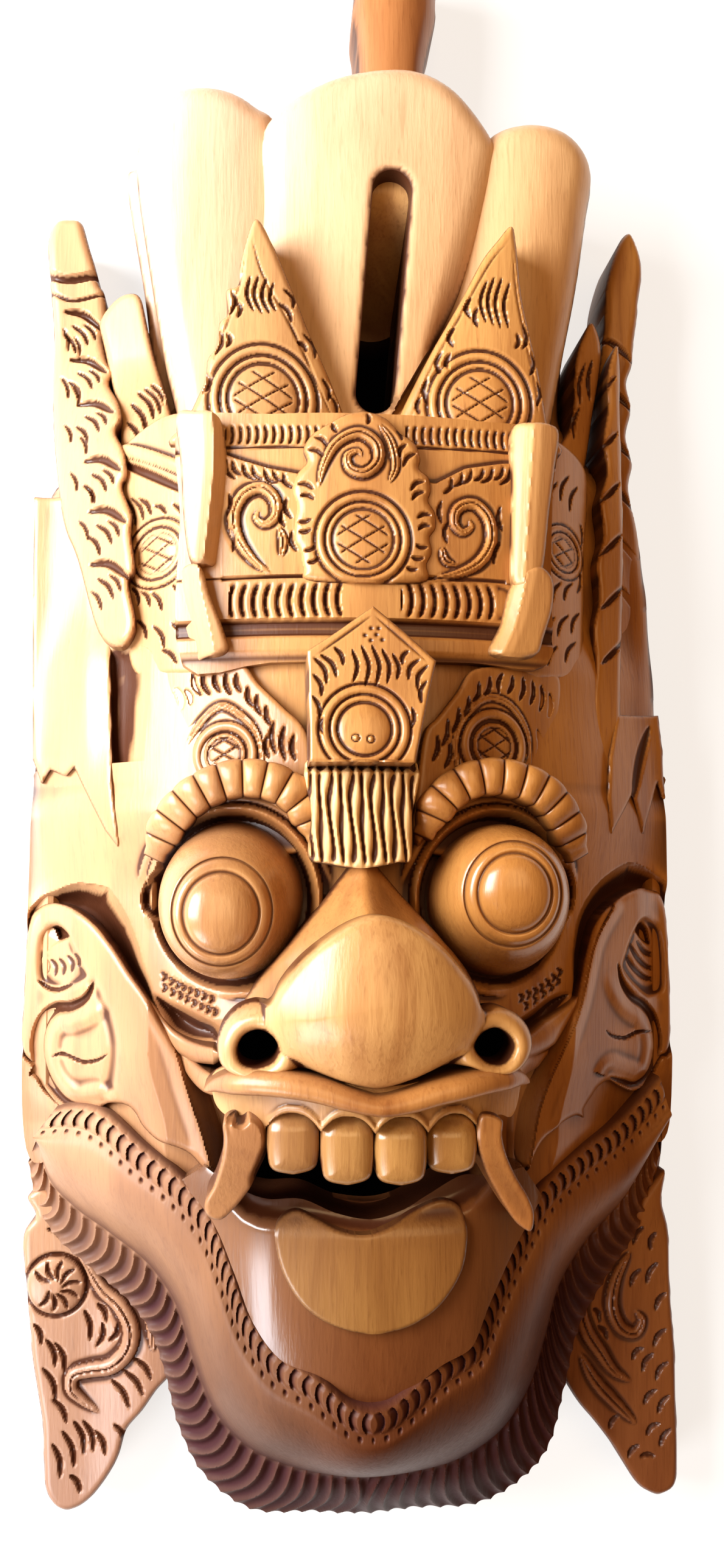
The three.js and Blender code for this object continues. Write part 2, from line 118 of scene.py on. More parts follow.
def wood(name, tones, cut, rough=0.36, coat=0.25, grain=1.0, shine=0.35):
    """Waxed wood: fine streaks along Y, broad soft figure and short pores over a tone that
    changes from chin to crown, partly painted shade towards the chin; painted window light pales the
    left side and painted shade darkens and warms the right; the dark colour lies where the surface's
    own stain-and-painted-shade value says so."""
    bench = Bench(name)
    place = bench.node("ShaderNodeTexCoord", {}, {}, "Object")

    def cloud(scale, stretch, detail, distort=0.0):
        laid = bench.node("ShaderNodeMapping", {}, {"Vector": place, "Scale": stretch})
        return bench.node("ShaderNodeTexNoise", {}, {
            "Vector": laid, "Scale": scale, "Detail": detail, "Distortion": distort})

    height = bench.node("ShaderNodeSeparateXYZ", {}, {0: place}, "Y")
    tone = bench.node("ShaderNodeValToRGB", {"stops": tones}, {0: height * 1.8 + 0.5})
    streak = cloud(60, (14, 0.9, 14), 4, 0.6)
    figure = cloud(14, (2.6, 0.5, 2.6), 3, 1.2)
    fleck = cloud(420, (3.2, 0.35, 3.2), 2)
    # the per-point value: real stain in the cuts together with painted shade in recesses, creases and at
    # walls' feet
    stain = bench.node("ShaderNodeAttribute", {"attribute_name": "stain"}, {}, "Fac")
    dull = bench.mix(((figure - 0.42) * 2.2 * grain).kept(), tone, (0.52, 0.36, 0.26), "MULTIPLY")
    lined = bench.mix(((streak - 0.5) * 2.4 * grain).kept() * 0.55, dull, (0.45, 0.27, 0.16), "MULTIPLY")
    pored = bench.mix(((fleck - 0.62) * 5).kept() * 0.35 * grain, lined, (0.3, 0.16, 0.09), "MULTIPLY")
    across = bench.node("ShaderNodeSeparateXYZ", {}, {0: place}, "X")
    # painted window light: the left of the mask is mixed towards a pale colour
    painted_left_light = bench.mix((across * -8).kept() * 0.26, pored, (0.84, 0.60, 0.46))
    # painted shade: the right of the mask is darkened and warmed
    painted_right_shade = bench.mix((across * 6 + 0.35).kept(), painted_left_light, (0.88, 0.74, 0.46), "MULTIPLY")
    patch = cloud(35, (1, 1, 1), 3)
    stain_and_shade_share = (stain * (0.95 + 0.6 * patch)).kept()
    bench.feed(bench.shader.inputs["Base Color"], bench.mix(stain_and_shade_share, painted_right_shade, cut))
    satin = rough + 0.14 * streak + 0.1 * figure - 0.12 + 0.15 * stain_and_shade_share
    bench.feed(bench.shader.inputs["Roughness"], satin)
    relief = bench.node("ShaderNodeBump", {}, {
        "Strength": 0.22, "Distance": 0.0006, "Height": 0.6 * streak + 0.4 * fleck})
    bench.feed(bench.shader.inputs["Normal"], relief)
    bench.shader.inputs["Coat Weight"].default_value = coat
    bench.shader.inputs["Coat Roughness"].default_value = 0.22
    bench.shader.inputs["Specular IOR Level"].default_value = shine
    return bench.finish


# tone from the chin, through the jaw, mouth, cheeks and brow, to the crown; the darkening towards the chin is
# partly the wood's own tone, partly painted shade
wood_tones = [
    (0.02, (0.25, 0.105, 0.060)), (0.12, (0.29, 0.125, 0.060)), (0.22, (0.37, 0.165, 0.062)),
    (0.33, (0.47, 0.225, 0.078)), (0.50, (0.51, 0.255, 0.090)), (0.66, (0.56, 0.29, 0.115)),
    (0.80, (0.68, 0.40, 0.185)), (0.95, (0.74, 0.47, 0.25))]
# the dark colour used both for the stain and for painted shade
dark_stain_and_shade = (0.085, 0.026, 0.010)
face_wood = wood("waxed_wood", wood_tones, dark_stain_and_shade)


# ---- Head block ------------------------------------------------------------------------------
# One block of wood carries everything: shallow at the sides, deep down the middle, scooped out
# behind for the wearer's face, and cut right through at the mouth and at the crown's slot.

def curve(points, closed=False, per=10):
    """Smooth line through the points: each stretch is a Catmull-Rom cubic of four neighbours."""
    p = np.array(points, float)
    p = np.vstack([p[-1:], p, p[:2]]) if closed else np.vstack([2 * p[:1] - p[1:2], p, 2 * p[-1:] - p[-2:-1]])
    t = np.linspace(0, 1, per, endpoint=False)[None, :, None]
    a, b, c, d = p[:-3, None], p[1:-2, None], p[2:-1, None], p[3:, None]
    q = 0.5 * (2 * b + (c - a) * t + (2 * a - 5 * b + 4 * c - d) * t ** 2 + (3 * b - a - 3 * c + d) * t ** 3)
    q = q.reshape(-1, p.shape[1])
    return q if closed else np.vstack([q, p[-2:-1]])


def arc(centre, radius, start, end, count=40, squash=1.0):
    """Points on a circle, or on an ellipse squash times as tall, from start to end degrees."""
    turn = np.radians(np.linspace(start, end, count))
    return np.stack([centre[0] + radius * np.cos(turn), centre[1] + radius * squash * np.sin(turn)], 1)


def reach(x, y, line):
    """Distance to a line, length along it at the nearest point, and side of it (left is plus)."""
    line = np.asarray(line, float)[:, :2]
    best = np.full(x.shape, 1e9)
    along = np.zeros(x.shape)
    side = np.zeros(x.shape)
    gone = 0.0
    for (ax, ay), (bx, by) in zip(line[:-1], line[1:]):
        dx, dy = bx - ax, by - ay
        span = math.hypot(dx, dy)
        if span == 0:
            continue
        t = np.clip(((x - ax) * dx + (y - ay) * dy) / span ** 2, 0, 1)
        far = np.hypot(x - ax - t * dx, y - ay - t * dy)
        hit = far < best
        best = np.where(hit, far, best)
        along = np.where(hit, gone + t * span, along)
        side = np.where(hit, np.sign(dx * (y - ay) - dy * (x - ax)), side)
        gone += span
    return best, along, side


def outside(x, y, loop):
    """Signed distance to a closed outline: minus inside, plus outside."""
    loop = np.asarray(loop, float)[:, :2]
    far, _, _ = reach(x, y, np.vstack([loop, loop[:1]]))
    within = np.zeros(x.shape, bool)
    for (ax, ay), (bx, by) in zip(loop, np.roll(loop, -1, 0)):
        if ay != by:
            within ^= ((ay > y) != (by > y)) & (x < (bx - ax) * (y - ay) / (by - ay) + ax)
    return np.where(within, -far, far)


def spread(z, cells):
    """Heights averaged over a square of 2 * cells + 1 grid places, twice over."""
    for _ in range(2):
        for axis in (0, 1):
            padded = np.concatenate([np.repeat(z.take([0], axis), cells + 1, axis), z,
                                     np.repeat(z.take([-1], axis), cells, axis)], axis)
            total = np.cumsum(padded, axis)
            size = z.shape[axis]
            width = 2 * cells + 1
            z = (total.take(range(width, size + width), axis) - total.take(range(size), axis)) / width
    return z


def ease(t):
    """0 to 1 with no corner at either end."""
    t = np.clip(t, 0, 1)
    return t * t * (3 - 2 * t)


# the frame's origin, in the millimetres that every piece below is measured in
frame_origin = np.array([0, 17, 0])


def fit(name, points, quads, thirds, stain, finish, crease=38):
    """Makes a wooden piece from millimetre points, four- and three-cornered faces and a value of
    stain and painted shade at each point, and puts it on the mask's block."""
    mesh = bpy.data.meshes.new(name)
    placed = (np.asarray(points, float) - frame_origin) / 1000
    corners = np.concatenate([np.ravel(quads), np.ravel(thirds)]).astype(np.int32)
    totals = np.concatenate([np.full(len(quads), 4), np.full(len(thirds), 3)]).astype(np.int32)
    mesh.vertices.add(len(placed))
    mesh.vertices.foreach_set("co", placed.astype(np.float32).ravel())
    mesh.loops.add(len(corners))
    mesh.loops.foreach_set("vertex_index", corners)
    mesh.polygons.add(len(totals))
    mesh.polygons.foreach_set("loop_start", (np.cumsum(totals) - totals).astype(np.int32))
    mesh.update(calc_edges=True)
    mesh.validate()
    mesh.polygons.foreach_set("use_smooth", np.ones(len(mesh.polygons), bool))
    mesh.set_sharp_from_angle(angle=math.radians(crease))
    marks = mesh.attributes.new("stain", "FLOAT", "POINT")
    marks.data.foreach_set("value", np.asarray(stain, np.float32))
    mesh.materials.append(finish)
    piece = bpy.data.objects.new(name, mesh)
    bpy.context.scene.collection.objects.link(piece)
    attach(piece, "root")
    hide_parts("mask")
    return piece


class Carving:
    """A carved surface: heights z on a square grid of places x, y, inside an outline less its
    holes, all in millimetres. edge is the signed distance to the nearest outline."""

    def __init__(self, loop, step, ground, holes=()):
        loop = np.asarray(loop, float)[:, :2]
        low, high = loop.min(0) - 2.5 * step, loop.max(0) + 2.5 * step
        self.step = step
        self.xs = np.arange(low[0], high[0], step)
        self.ys = np.arange(low[1], high[1], step)
        self.x, self.y = np.meshgrid(self.xs, self.ys, indexing="ij")
        self.edge = outside(self.x, self.y, loop)
        for hole in holes:
            self.edge = np.maximum(self.edge, -outside(self.x, self.y, hole))
        self.z = ground(self.x, self.y) + np.zeros(self.x.shape)
        # extra darkening laid on by the pieces below: partly stain, mostly painted shade
        self.soak_and_shade = np.zeros(self.x.shape)

    def near(self, line, margin):
        """The window of the grid within margin of a line."""
        low, high = np.min(line, 0)[:2] - margin, np.max(line, 0)[:2] + margin
        return (slice(*np.searchsorted(self.xs, [low[0], high[0]])),
                slice(*np.searchsorted(self.ys, [low[1], high[1]])))

    def shoulder(self, radius, drop):
        """Rounds the outline: the last radius of the surface falls by drop in a quarter round."""
        t = np.clip(1 + self.edge / radius, 0, 1)
        self.z = self.z - drop * (1 - np.sqrt(1 - t ** 2))

    def beside(self, line, width, taper):
        """The window along a line, each place's distance from the line as a share of half the
        width there, and how far that width has thinned towards the line's ends."""
        line = np.asarray(line, float)
        at = self.near(line, width)
        far, along, _ = reach(self.x[at], self.y[at], line)
        span = np.hypot(*np.diff(line[:, :2], axis=0).T).sum()
        run = np.clip(along / span, 0, 1)
        thin = np.sqrt(np.clip(4 * run * (1 - run), 0, 1)) if taper else 1.0
        return at, far / np.maximum(width / 2 * thin, 1e-3), thin

    def gouge(self, line, width, depth, taper=True, floor=2.0):
        """A cut along a line, half as wide as width each way, a round V, running out at its ends."""
        at, share, thin = self.beside(line, width, taper)
        t = np.clip(1 - share, 0, 1)
        self.z[at] = self.z[at] - depth * thin * (1 - (1 - t) ** floor)

    def ridge(self, line, width, height, taper=True):
        """A raised rib along a line, round across, thinning to its ends when tapered."""
        at, share, thin = self.beside(line, width, taper)
        self.z[at] = self.z[at] + height * thin * np.sqrt(1 - np.clip(share, 0, 1) ** 2)

    def sink(self, loop, depth, border):
        """Sinks the inside of a loop by depth, easing down over a border as wide as border."""
        at = self.near(loop, border)
        deep = -outside(self.x[at], self.y[at], loop)
        self.z[at] = self.z[at] - depth * ease(deep / border)

    def net(self, centre, radius, pitch, depth):
        """Two sets of straight cuts crossing at an angle, inside a disc."""
        at = self.near(arc(centre, radius, 0, 360), 1)
        x, y = self.x[at] - centre[0], self.y[at] - centre[1]
        inside = np.clip((radius - np.hypot(x, y)) / 0.8, 0, 1)
        cut = np.zeros(x.shape)
        for lean in (math.radians(32), math.radians(148)):
            across = x * math.sin(lean) + y * math.cos(lean)
            off = np.abs((across / pitch + 0.5) % 1 - 0.5) * pitch
            cut = np.maximum(cut, np.clip(1 - off / 0.42, 0, 1))
        self.z[at] = self.z[at] - depth * cut * inside

    def row(self, line, half, pitch, depth, bend, sharp=2.5):
        """Gouges side by side along a line, each across it and bent like a C; half is how far
        they reach either side, and sharp how narrow they are."""
        line = np.asarray(line, float)
        at = self.near(line, half + 1)
        far, along, side = reach(self.x[at], self.y[at], line)
        span = np.hypot(*np.diff(line[:, :2], axis=0).T).sum()
        across = far * side / half
        phase = along / pitch + bend * across ** 2
        wave = 0.5 + 0.5 * np.cos(2 * np.pi * phase)
        fade = np.clip((1 - np.abs(across)) * 3, 0, 1) * ((along > 0) & (along < span))
        self.z[at] = self.z[at] - depth * wave ** sharp * fade

    def build(self, name, under, finish, soak_and_shade=1.0, wide=3.0, foot=0.9, backed=False):
        """Closes the surface with walls from its outline down to under, a height or a rule for
        one, and an underside: a fan out of sight, or when backed a grid like the face's own.
        Stain and painted shade gather where the surface lies below its own neighbourhood; painted shade
        darkens the walls' feet."""
        step, edge = self.step, self.edge
        fine = spread(self.z, max(1, round(0.9 / step))) - self.z
        broad = spread(self.z, max(1, round(wide / step))) - self.z
        # cavities darkened: stain in the cuts and painted shade in the recesses
        stain = np.clip(soak_and_shade * (fine / 0.30 + broad / 1.7) - 0.08 + self.soak_and_shade, 0, 1)
        middle = (edge[:-1, :-1] + edge[1:, :-1] + edge[:-1, 1:] + edge[1:, 1:]) / 4
        kept = middle < 0
        slope = np.stack(np.gradient(edge, step), -1)
        size = np.maximum((slope ** 2).sum(-1), 0.2)
        pull = edge[..., None] * slope / size[..., None]
        cells = np.pad(kept, 1)
        parts = cells[:-1, :-1].astype(int) + cells[1:, :-1] + cells[:-1, 1:] + cells[1:, 1:]
        rim = (parts > 0) & (parts < 4)
        reachable = np.abs(pull).max(-1) < 1.2 * step
        pull = np.where((rim & reachable)[..., None], pull, 0)
        x, y = self.x - pull[..., 0], self.y - pull[..., 1]
        used = parts > 0
        # heights and the stain-and-shade values are averaged along the rim, so that the walls' tops run
        # smooth
        share = spread(rim.astype(float), 2) + 1e-9
        z = np.where(rim, spread(self.z * rim, 2) / share, self.z)
        stain = np.where(rim, spread(stain * rim, 2) / share, stain)
        number = np.full(used.shape, -1)
        count = used.sum()
        number[used] = np.arange(count)
        a, b = number[:-1, :-1][kept], number[:-1, 1:][kept]
        c, d = number[1:, 1:][kept], number[1:, :-1][kept]
        base = (under(x, y) if callable(under) else under) + np.zeros(x.shape)
        top = np.stack([x[used], y[used], np.maximum(z, base + 0.02)[used]], 1)
        low = np.stack([x[used], y[used], base[used]], 1)
        gone = ~cells
        k = np.nonzero(kept)
        i, j = k[0] + 1, k[1] + 1
        # a is the low x, low y corner, b the low x, high y one, c opposite a, d opposite b
        sides = ((gone[i - 1, j], b, a), (gone[i, j + 1], c, b),
                 (gone[i + 1, j], d, c), (gone[i, j - 1], a, d))
        first = np.concatenate([one[open_] for open_, one, _ in sides])
        second = np.concatenate([two[open_] for open_, _, two in sides])
        quads, thirds = [np.stack([a, d, c, b], 1)], np.zeros((0, 3), int)
        if backed:
            low_of = np.arange(count) + count
            # painted shade at the feet of the walls
            lower, painted_foot_shade = low, np.where(rim[used], foot, 0.3)
            quads.append(low_of[np.stack([a, b, c, d], 1)])
        else:
            low_of = np.full(count, -1)
            at_rim = np.unique(first)
            low_of[at_rim] = np.arange(len(at_rim)) + count
            hub = low[at_rim].mean(0)
            # painted shade at the feet of the walls
            lower, painted_foot_shade = np.vstack([low[at_rim], hub]), np.full(len(at_rim) + 1, foot)
            thirds = np.stack([low_of[first], np.full(len(first), count + len(at_rim)), low_of[second]], 1)
        quads.append(np.stack([second, first, low_of[first], low_of[second]], 1))
        marks = np.concatenate([stain[used], painted_foot_shade])
        points = np.concatenate([top, lower])
        return fit(name, points, np.concatenate(quads), thirds, marks, finish)


# each row: y, left and right edge, height at the sides and in the middle, how square the
# section is, and how full
block_sections = np.array([
    (-212, -66, 72, 14, 40, 4, 6), (-198, -103, 106, 20, 62, 4, 8), (-176, -105, 106, 22, 76, 4, 8),
    (-152, -103, 103.5, 24, 78, 3, 3), (-126, -108, 106.5, 26, 82, 2.6, 2.2),
    (-98, -108.7, 106.5, 28, 86, 2.6, 2), (-54, -107.5, 105.5, 29, 76, 2.8, 1.6),
    (-22, -107, 105, 30, 80, 2.8, 1.4), (14, -106, 103, 31, 80, 2.6, 1.4),
    (50, -105.5, 101, 31, 78, 2.6, 2), (80, -104.5, 98, 30, 70, 2.6, 1.8), (97, -80, 82, 28, 62, 2.4, 1),
    (114, -69, 72, 26, 54, 2.2, 0.8), (150, -70, 74, 27, 50, 2.2, 0.7), (186, -72, 75, 28, 50, 2.2, 0.7),
    (204, -60, 66, 30, 46, 2.2, 0.7)])


last_level = 14.999  # just short of the last of the sixteen sections


def block_level(y):
    """Which of the block's sections y lies at, counted from the chin."""
    return np.clip(np.interp(y, block_sections[:, 0], np.arange(len(block_sections))), 0, last_level)


def head(x, y):
    """Height of the block's front. Each level has a side height and a middle height, joined
    across by (1 - |u| ** square) ** full, with u from -1 to 1; levels ease into each other."""
    level = block_level(y)
    low = level.astype(int)
    share = ease(level - low)
    _, left, right, side, middle, square, full = (
        block_sections[low, k] * (1 - share) + block_sections[low + 1, k] * share for k in range(7))
    u = np.clip(np.abs((x - (left + right) / 2) / ((right - left) / 2)), 0, 1)
    return side + (middle - side) * (1 - u ** square) ** full


def scooped(x, y):
    """Depth of the hollow behind: a rounded trough, falling to nothing at its edge and ends."""
    v = np.clip(np.abs(2 * (y + 192) / 358 - 1), 0, 1)
    rounded = (1 - v ** 4) ** 0.4
    level = block_level(y)
    pick = [np.interp(level, np.arange(len(block_sections)), block_sections[:, k]) for k in (1, 2, 4)]
    side = np.maximum(rounded * (np.minimum(-pick[0], pick[1]) - 15), 0.5)
    deep = 1 + rounded * (pick[2] - 15)
    return np.where(v < 1, deep * (1 - np.clip(np.abs(x / side), 0, 1) ** 2.6) ** 0.6, 0)


mouth_hole = curve([(-38, -113), (0, -110), (34, -113), (31, -134), (12, -141), (0, -144), (-18, -141),
                    (-36, -138)], closed=True, per=6)
slot_hole = np.vstack([arc((8, 171.5), 6.2, -5, 175, 20), arc((2.8, 105.5), 6.2, 175, 355, 20)])
block_loop = curve([(-62, -212), (-100, -200), (-105, -178), (-103, -152), (-108, -126), (-108.6, -98),
    (-107.5, -54), (-107, -22), (-106, 14), (-105.5, 50), (-104.5, 78), (-97, 88), (-76, 99), (-69, 114),
    (-70, 150), (-72, 186), (-60, 201), (0, 204), (62, 202), (75, 186), (74, 150), (72, 114), (79, 99),
    (94, 88), (98, 76), (101, 50), (103, 14), (105, -22), (105.5, -54), (106.4, -98), (106, -126),
    (103.5, -152), (105, -178), (103, -198), (68, -212)], closed=True, per=4)
block = Carving(block_loop, 1.68, head, (mouth_hole, slot_hole))
# the block sinks under the face, so that the face's sockets and troughs stay open
block.z -= 13 * ease((-22 - block.y) / 8) * ease((101 - np.abs(block.x)) / 7)
block.shoulder(7, 4)
channel = outside(block.x, block.y, curve([(-84, 24), (-68, 22), (-69, -10), (-72, -40), (-82, -30),
    (-88, -14)], closed=True))
block.z -= 5 * ease(-channel / 7)
# painted shade darkens the channel
block.soak_and_shade += 0.5 * ease(-channel / 7)
block.build("head_block", scooped, face_wood, foot=0.25, backed=True)


# ---- Crown -----------------------------------------------------------------------------------
# Three tall rounded petals stand over the brow, the middle one in front, each carved proud of the
# block with a rolled top edge. A slot for the wearer's sight or a fixing runs through the middle.

def petal_surface(base, slope, rise, middle, half, lean=0.0):
    """A petal's height: a level that rises with y, plus a broad roll across its width."""
    def height(x, y):
        u = np.clip((x - middle - lean * (y - 150)) / half, -1.4, 1.4)
        return base + slope * (y - 100) + rise * (1 - 0.55 * u ** 2)
    return height


crown_wood = wood("crown_wood", [
    (0.50, (0.62, 0.35, 0.16)), (0.66, (0.68, 0.41, 0.23)), (0.76, (0.78, 0.51, 0.33)),
    (0.88, (0.84, 0.59, 0.43)), (0.99, (0.87, 0.63, 0.47))], dark_stain_and_shade, rough=0.40, grain=0.7)

left_back = Carving(curve([(-60, 84), (-64, 100), (-69.6, 125), (-73, 150), (-79, 186), (-76, 193),
    (-64, 196), (-45, 190), (-45, 84)], closed=True), 1.3, petal_surface(32, 0.03, 3, -60, 40))
left_back.shoulder(3, 3)
left_back.build("crown_back_left", 8, crown_wood)

left_petal = Carving(curve([(-56, 76), (-60, 100), (-65, 122), (-69.5, 148), (-74, 178), (-73.5, 193),
    (-68, 203), (-60, 207.5), (-47, 208.3), (-36, 205), (-27, 197), (-22, 150), (-24, 76)], closed=True),
    0.95, petal_surface(44, 0.04, 14, -50, 26, -0.04))
left_petal.shoulder(9, 7)
left_petal.build("crown_petal_left", 14, crown_wood, foot=0.5)

right_petal = Carving(curve([(22, 76), (20, 120), (26, 180), (40, 197), (52, 202.4), (66, 202.6),
    (75, 198), (78.6, 190), (76.5, 176), (72.5, 151), (67, 124), (62, 98), (58, 76)], closed=True), 0.95,
    petal_surface(44, 0.04, 14, 50, 27, 0.04))
right_petal.shoulder(10, 9)
# painted shade on the right petal's rounded right edge, turned away from the light
right_petal.soak_and_shade += 0.30 * ease((right_petal.edge + 9) / 9) * ease((right_petal.x - 55) / 15)
right_petal.build("crown_petal_right", 14, crown_wood, foot=0.6)

middle_petal = Carving(curve([(-44, 76), (-42, 105), (-36, 140), (-33.4, 168), (-34, 190), (-30, 199),
    (-18, 206.5), (-4, 211), (14, 213), (27, 209.5), (37, 201.5), (44, 192), (43.4, 183), (40, 170),
    (33, 148), (26, 132), (15, 112), (7, 96), (4, 76)], closed=True), 0.95,
    petal_surface(50, 0.06, 13, 2, 40, 0.07), (slot_hole,))
slot_far = outside(middle_petal.x, middle_petal.y, slot_hole)
flat = middle_petal.z.copy()
middle_petal.shoulder(9, 6.5)
middle_petal.z += (flat - middle_petal.z) * (1 - ease((slot_far - 7) / 8))
middle_petal.z -= 0.9 * (1 - ease(slot_far / 1.8))
middle_petal.soak_and_shade += 0.25 * (1 - ease(slot_far / 2.2))
middle_petal.build("crown_petal_middle", 20, crown_wood, foot=0.75, backed=True)

slot_ramp = Carving(arc((5, 162), 17, 0, 360, 48, 1.1), 1.2, lambda x, y: 60 - 42 * ease((176 - y) / 34))
slot_ramp.build("slot_ramp", 4, wood("slot_wood", wood_tones, dark_stain_and_shade, rough=0.6), soak_and_shade=0.6)


# ---- Pointed leaves of the crown ---------------------------------------------------------------
# Two flame-shaped leaves rise behind the diadem, each with a netted medallion at its foot, curled
# lobes down its sides and a tuft of curved gouges under its tip.

def medallion(slab, centre, radius, rings=((1.0, 2.6, 1.3), (0.80, 1.6, 0.8)), pitch=5.2):
    """Rings raised round a netted disc; each ring is (share of radius, width, height)."""
    far = np.hypot(slab.x - centre[0], slab.y - centre[1])
    slab.z -= 0.9 * (1 - ease((far - radius * 1.12) / 1.2))
    for share, width, height in rings:
        t = np.clip(np.abs(far - radius * share) / (width / 2), 0, 1)
        slab.z += height * np.sqrt(1 - t ** 2)
    slab.z += 0.9 * np.clip(1 - (far / (radius * 0.68)) ** 2, 0, 1) ** 0.5
    slab.net(centre, radius * 0.62, pitch, 0.75)


def tuft(slab, places, width=1.5, depth=1.1):
    """Short curved gouges; each place is two ends and how far the middle bows to the left."""
    for (ax, ay), (bx, by), bow in places:
        dx, dy = bx - ax, by - ay
        span = math.hypot(dx, dy)
        mx, my = (ax + bx) / 2 - dy / span * bow, (ay + by) / 2 + dx / span * bow
        slab.gouge(curve([(ax, ay), (mx, my), (bx, by)], per=5), width, depth)


leaf_left = Carving(
    curve([(-35.3, 153.7), (-30, 146), (-26.2, 137.5), (-22, 128), (-18.7, 120), (-12.1, 106.6), (-5, 90),
           (-4, 84), (-58, 84), (-55.5, 92), (-50.5, 103), (-49.5, 110), (-46.8, 114), (-46, 121),
           (-43.4, 124), (-44, 131), (-40.3, 133), (-39.5, 141)], closed=True, per=6),
    0.42, lambda x, y: 76 - 0.01 * (x + 35) ** 2 * (y < 150) + 0.02 * (y - 100))
leaf_left.shoulder(2.2, 1.6)
for side_line in ([(-36.5, 148), (-33, 136), (-24.5, 121), (-15.5, 103), (-10, 91)],
                  [(-38, 143), (-39.5, 134), (-43, 122), (-48, 108)]):
    leaf_left.gouge(curve(side_line), 1.2, 0.5)
medallion(leaf_left, (-32.5, 97.5), 15)
tuft(leaf_left, [((-36.6, 135.5), (-35.5, 124), -1.6), ((-34.2, 135.6), (-33.0, 123.5), -1.9),
                 ((-31.8, 135), (-30.6, 123.5), -1.9), ((-29.6, 133.6), (-28.8, 124.5), -1.5)], 1.5, 1.2)
tuft(leaf_left, [((-42.6, 131), (-42.8, 123.5), 1.6), ((-41, 128), (-40.5, 122), 1.2),
    ((-26.6, 132), (-23.6, 126), 1.6), ((-28, 127.5), (-24, 121.5), 1.2),
    ((-45.8, 119), (-47.2, 111), 1.6), ((-43.6, 117.5), (-43.8, 113), 1.1),
    ((-20.6, 119), (-16.6, 111.5), 1.5), ((-49.5, 106), (-51, 99), 1.3), ((-14.5, 106), (-12.6, 99), 1.3),
    ((-12.6, 102), (-9.8, 95), 1.2), ((-22.4, 116), (-19.4, 113), 1)], 1.9, 1.2)
leaf_left.build("crown_leaf_left", 50, face_wood)

leaf_right = Carving(curve([(44.5, 155.8), (40, 150.5), (35.5, 144.5), (32, 138), (28.6, 131.3),
    (24, 123), (20, 116), (15, 106.5), (8.2, 92), (7, 84), (58, 84), (56, 94), (53.2, 109.7), (50.2, 122),
    (47.6, 134), (46, 150)], closed=True, per=6), 0.42,
    lambda x, y: 76 - 0.008 * (x - 35) ** 2 + 0.02 * (y - 100))
leaf_right.shoulder(2.2, 1.6)
for side_line in ([(43.6, 150.5), (37, 142), (28, 125.5), (19, 109), (12.5, 93)],
                  [(44.6, 148), (46, 133), (48.6, 120), (51.6, 107), (53, 95)]):
    leaf_right.gouge(curve(side_line), 1.2, 0.5)
medallion(leaf_right, (34.1, 98.3), 14.6)
tuft(leaf_right, [((36.4, 137), (36, 123.5), -1.8), ((38.8, 138.5), (38.4, 122.6), -2),
    ((41.2, 138.5), (40.8, 121.6), -2), ((43.6, 137), (43.3, 122), -1.7)], 1.5, 1.2)
tuft(leaf_right, [((31.5, 131.5), (31.5, 124.5), -1.6), ((33.6, 128.5), (33.4, 122), -1.1),
    ((26.4, 122), (26, 115.5), -1.6), ((22.6, 114.5), (22.2, 107), -1.5),
    ((25.2, 114), (24.4, 108.5), -1.1), ((18.4, 106.5), (18.4, 98), -1.5),
    ((48, 124.5), (47.6, 116), 1.6), ((45.8, 121), (45.2, 116), 1.1), ((50.4, 116), (50, 108), 1.5),
    ((52.4, 107), (52.2, 98.5), 1.3), ((16.4, 101), (15.6, 95), -1)], 1.9, 1.2)
leaf_right.build("crown_leaf_right", 50, face_wood)


# ---- Diadem ------------------------------------------------------------------------------------
# A carved band across the forehead: a row of gadroons over two scrolled panels, a lower row of
# gadroons, and a plain ledge. It bows forward in the middle.

def bowed(base, fall=0.003):
    """A level that falls away either side of the middle with the square of x."""
    return lambda x, y: base - fall * x ** 2


def scroll(slab, line, width=3.4, height=1.5, groove=0.8):
    """A rib laid along a spiral line, with a thin cut down its middle and a sunk border."""
    line = curve(line, per=8)
    slab.gouge(line, width * 1.9, 0.9, floor=1.4)
    slab.ridge(line, width, height + 0.6)
    slab.gouge(line, 0.8, groove)


diadem = Carving(curve([(-56, 15.6), (-30, 15.2), (0, 15.8), (30, 16), (54, 17), (55, 40), (56, 70),
    (57, 89), (30, 90), (0, 90), (-30, 90), (-57, 89), (-57, 60)], closed=True, per=4), 0.43, bowed(84.5))
panel_top = np.interp(diadem.x, [-46, -40, -31, -21, 19, 28, 40, 46],
    [79, 76.4, 73.2, 71, 69.4, 74.6, 77.4, 78])
diadem.z += 1.7 * ease((panel_top - diadem.y) / 0.8 + 0.5) * ease((diadem.y - 39.8) / 0.8)
diadem.z += 1.5 * ease((40.4 - diadem.y) / 0.6) * ease((diadem.y - 27.2) / 0.8)
diadem.z -= 1.2 * ease((27.4 - diadem.y) / 0.8) * ease((diadem.y - 22.6) / 1.2)
diadem.z += 0.8 * ease((23.2 - diadem.y) / 1.0) - 1.2 * ease((19 - diadem.y) / 3)
diadem.row([(-44, 84.2), (-14, 83.2)], 3.2, 2.5, 1.0, bend=0.30)
diadem.row([(10, 83.8), (44, 85.0)], 3.2, 2.5, 1.0, bend=-0.30)
diadem.gouge([(-46, 80.4), (-10, 79.4)], 1.0, 0.7, taper=False)
diadem.gouge([(8, 80.0), (44, 81.4)], 1.0, 0.7, taper=False)
diadem.row(curve([(-42, 33.4), (-25, 33.0), (-9, 33.4)]), 5.6, 3.5, 1.7, bend=-0.42, sharp=3)
diadem.row(curve([(8, 33.6), (22, 33.6), (38, 34.2)]), 5.6, 3.5, 1.7, bend=0.42, sharp=3)
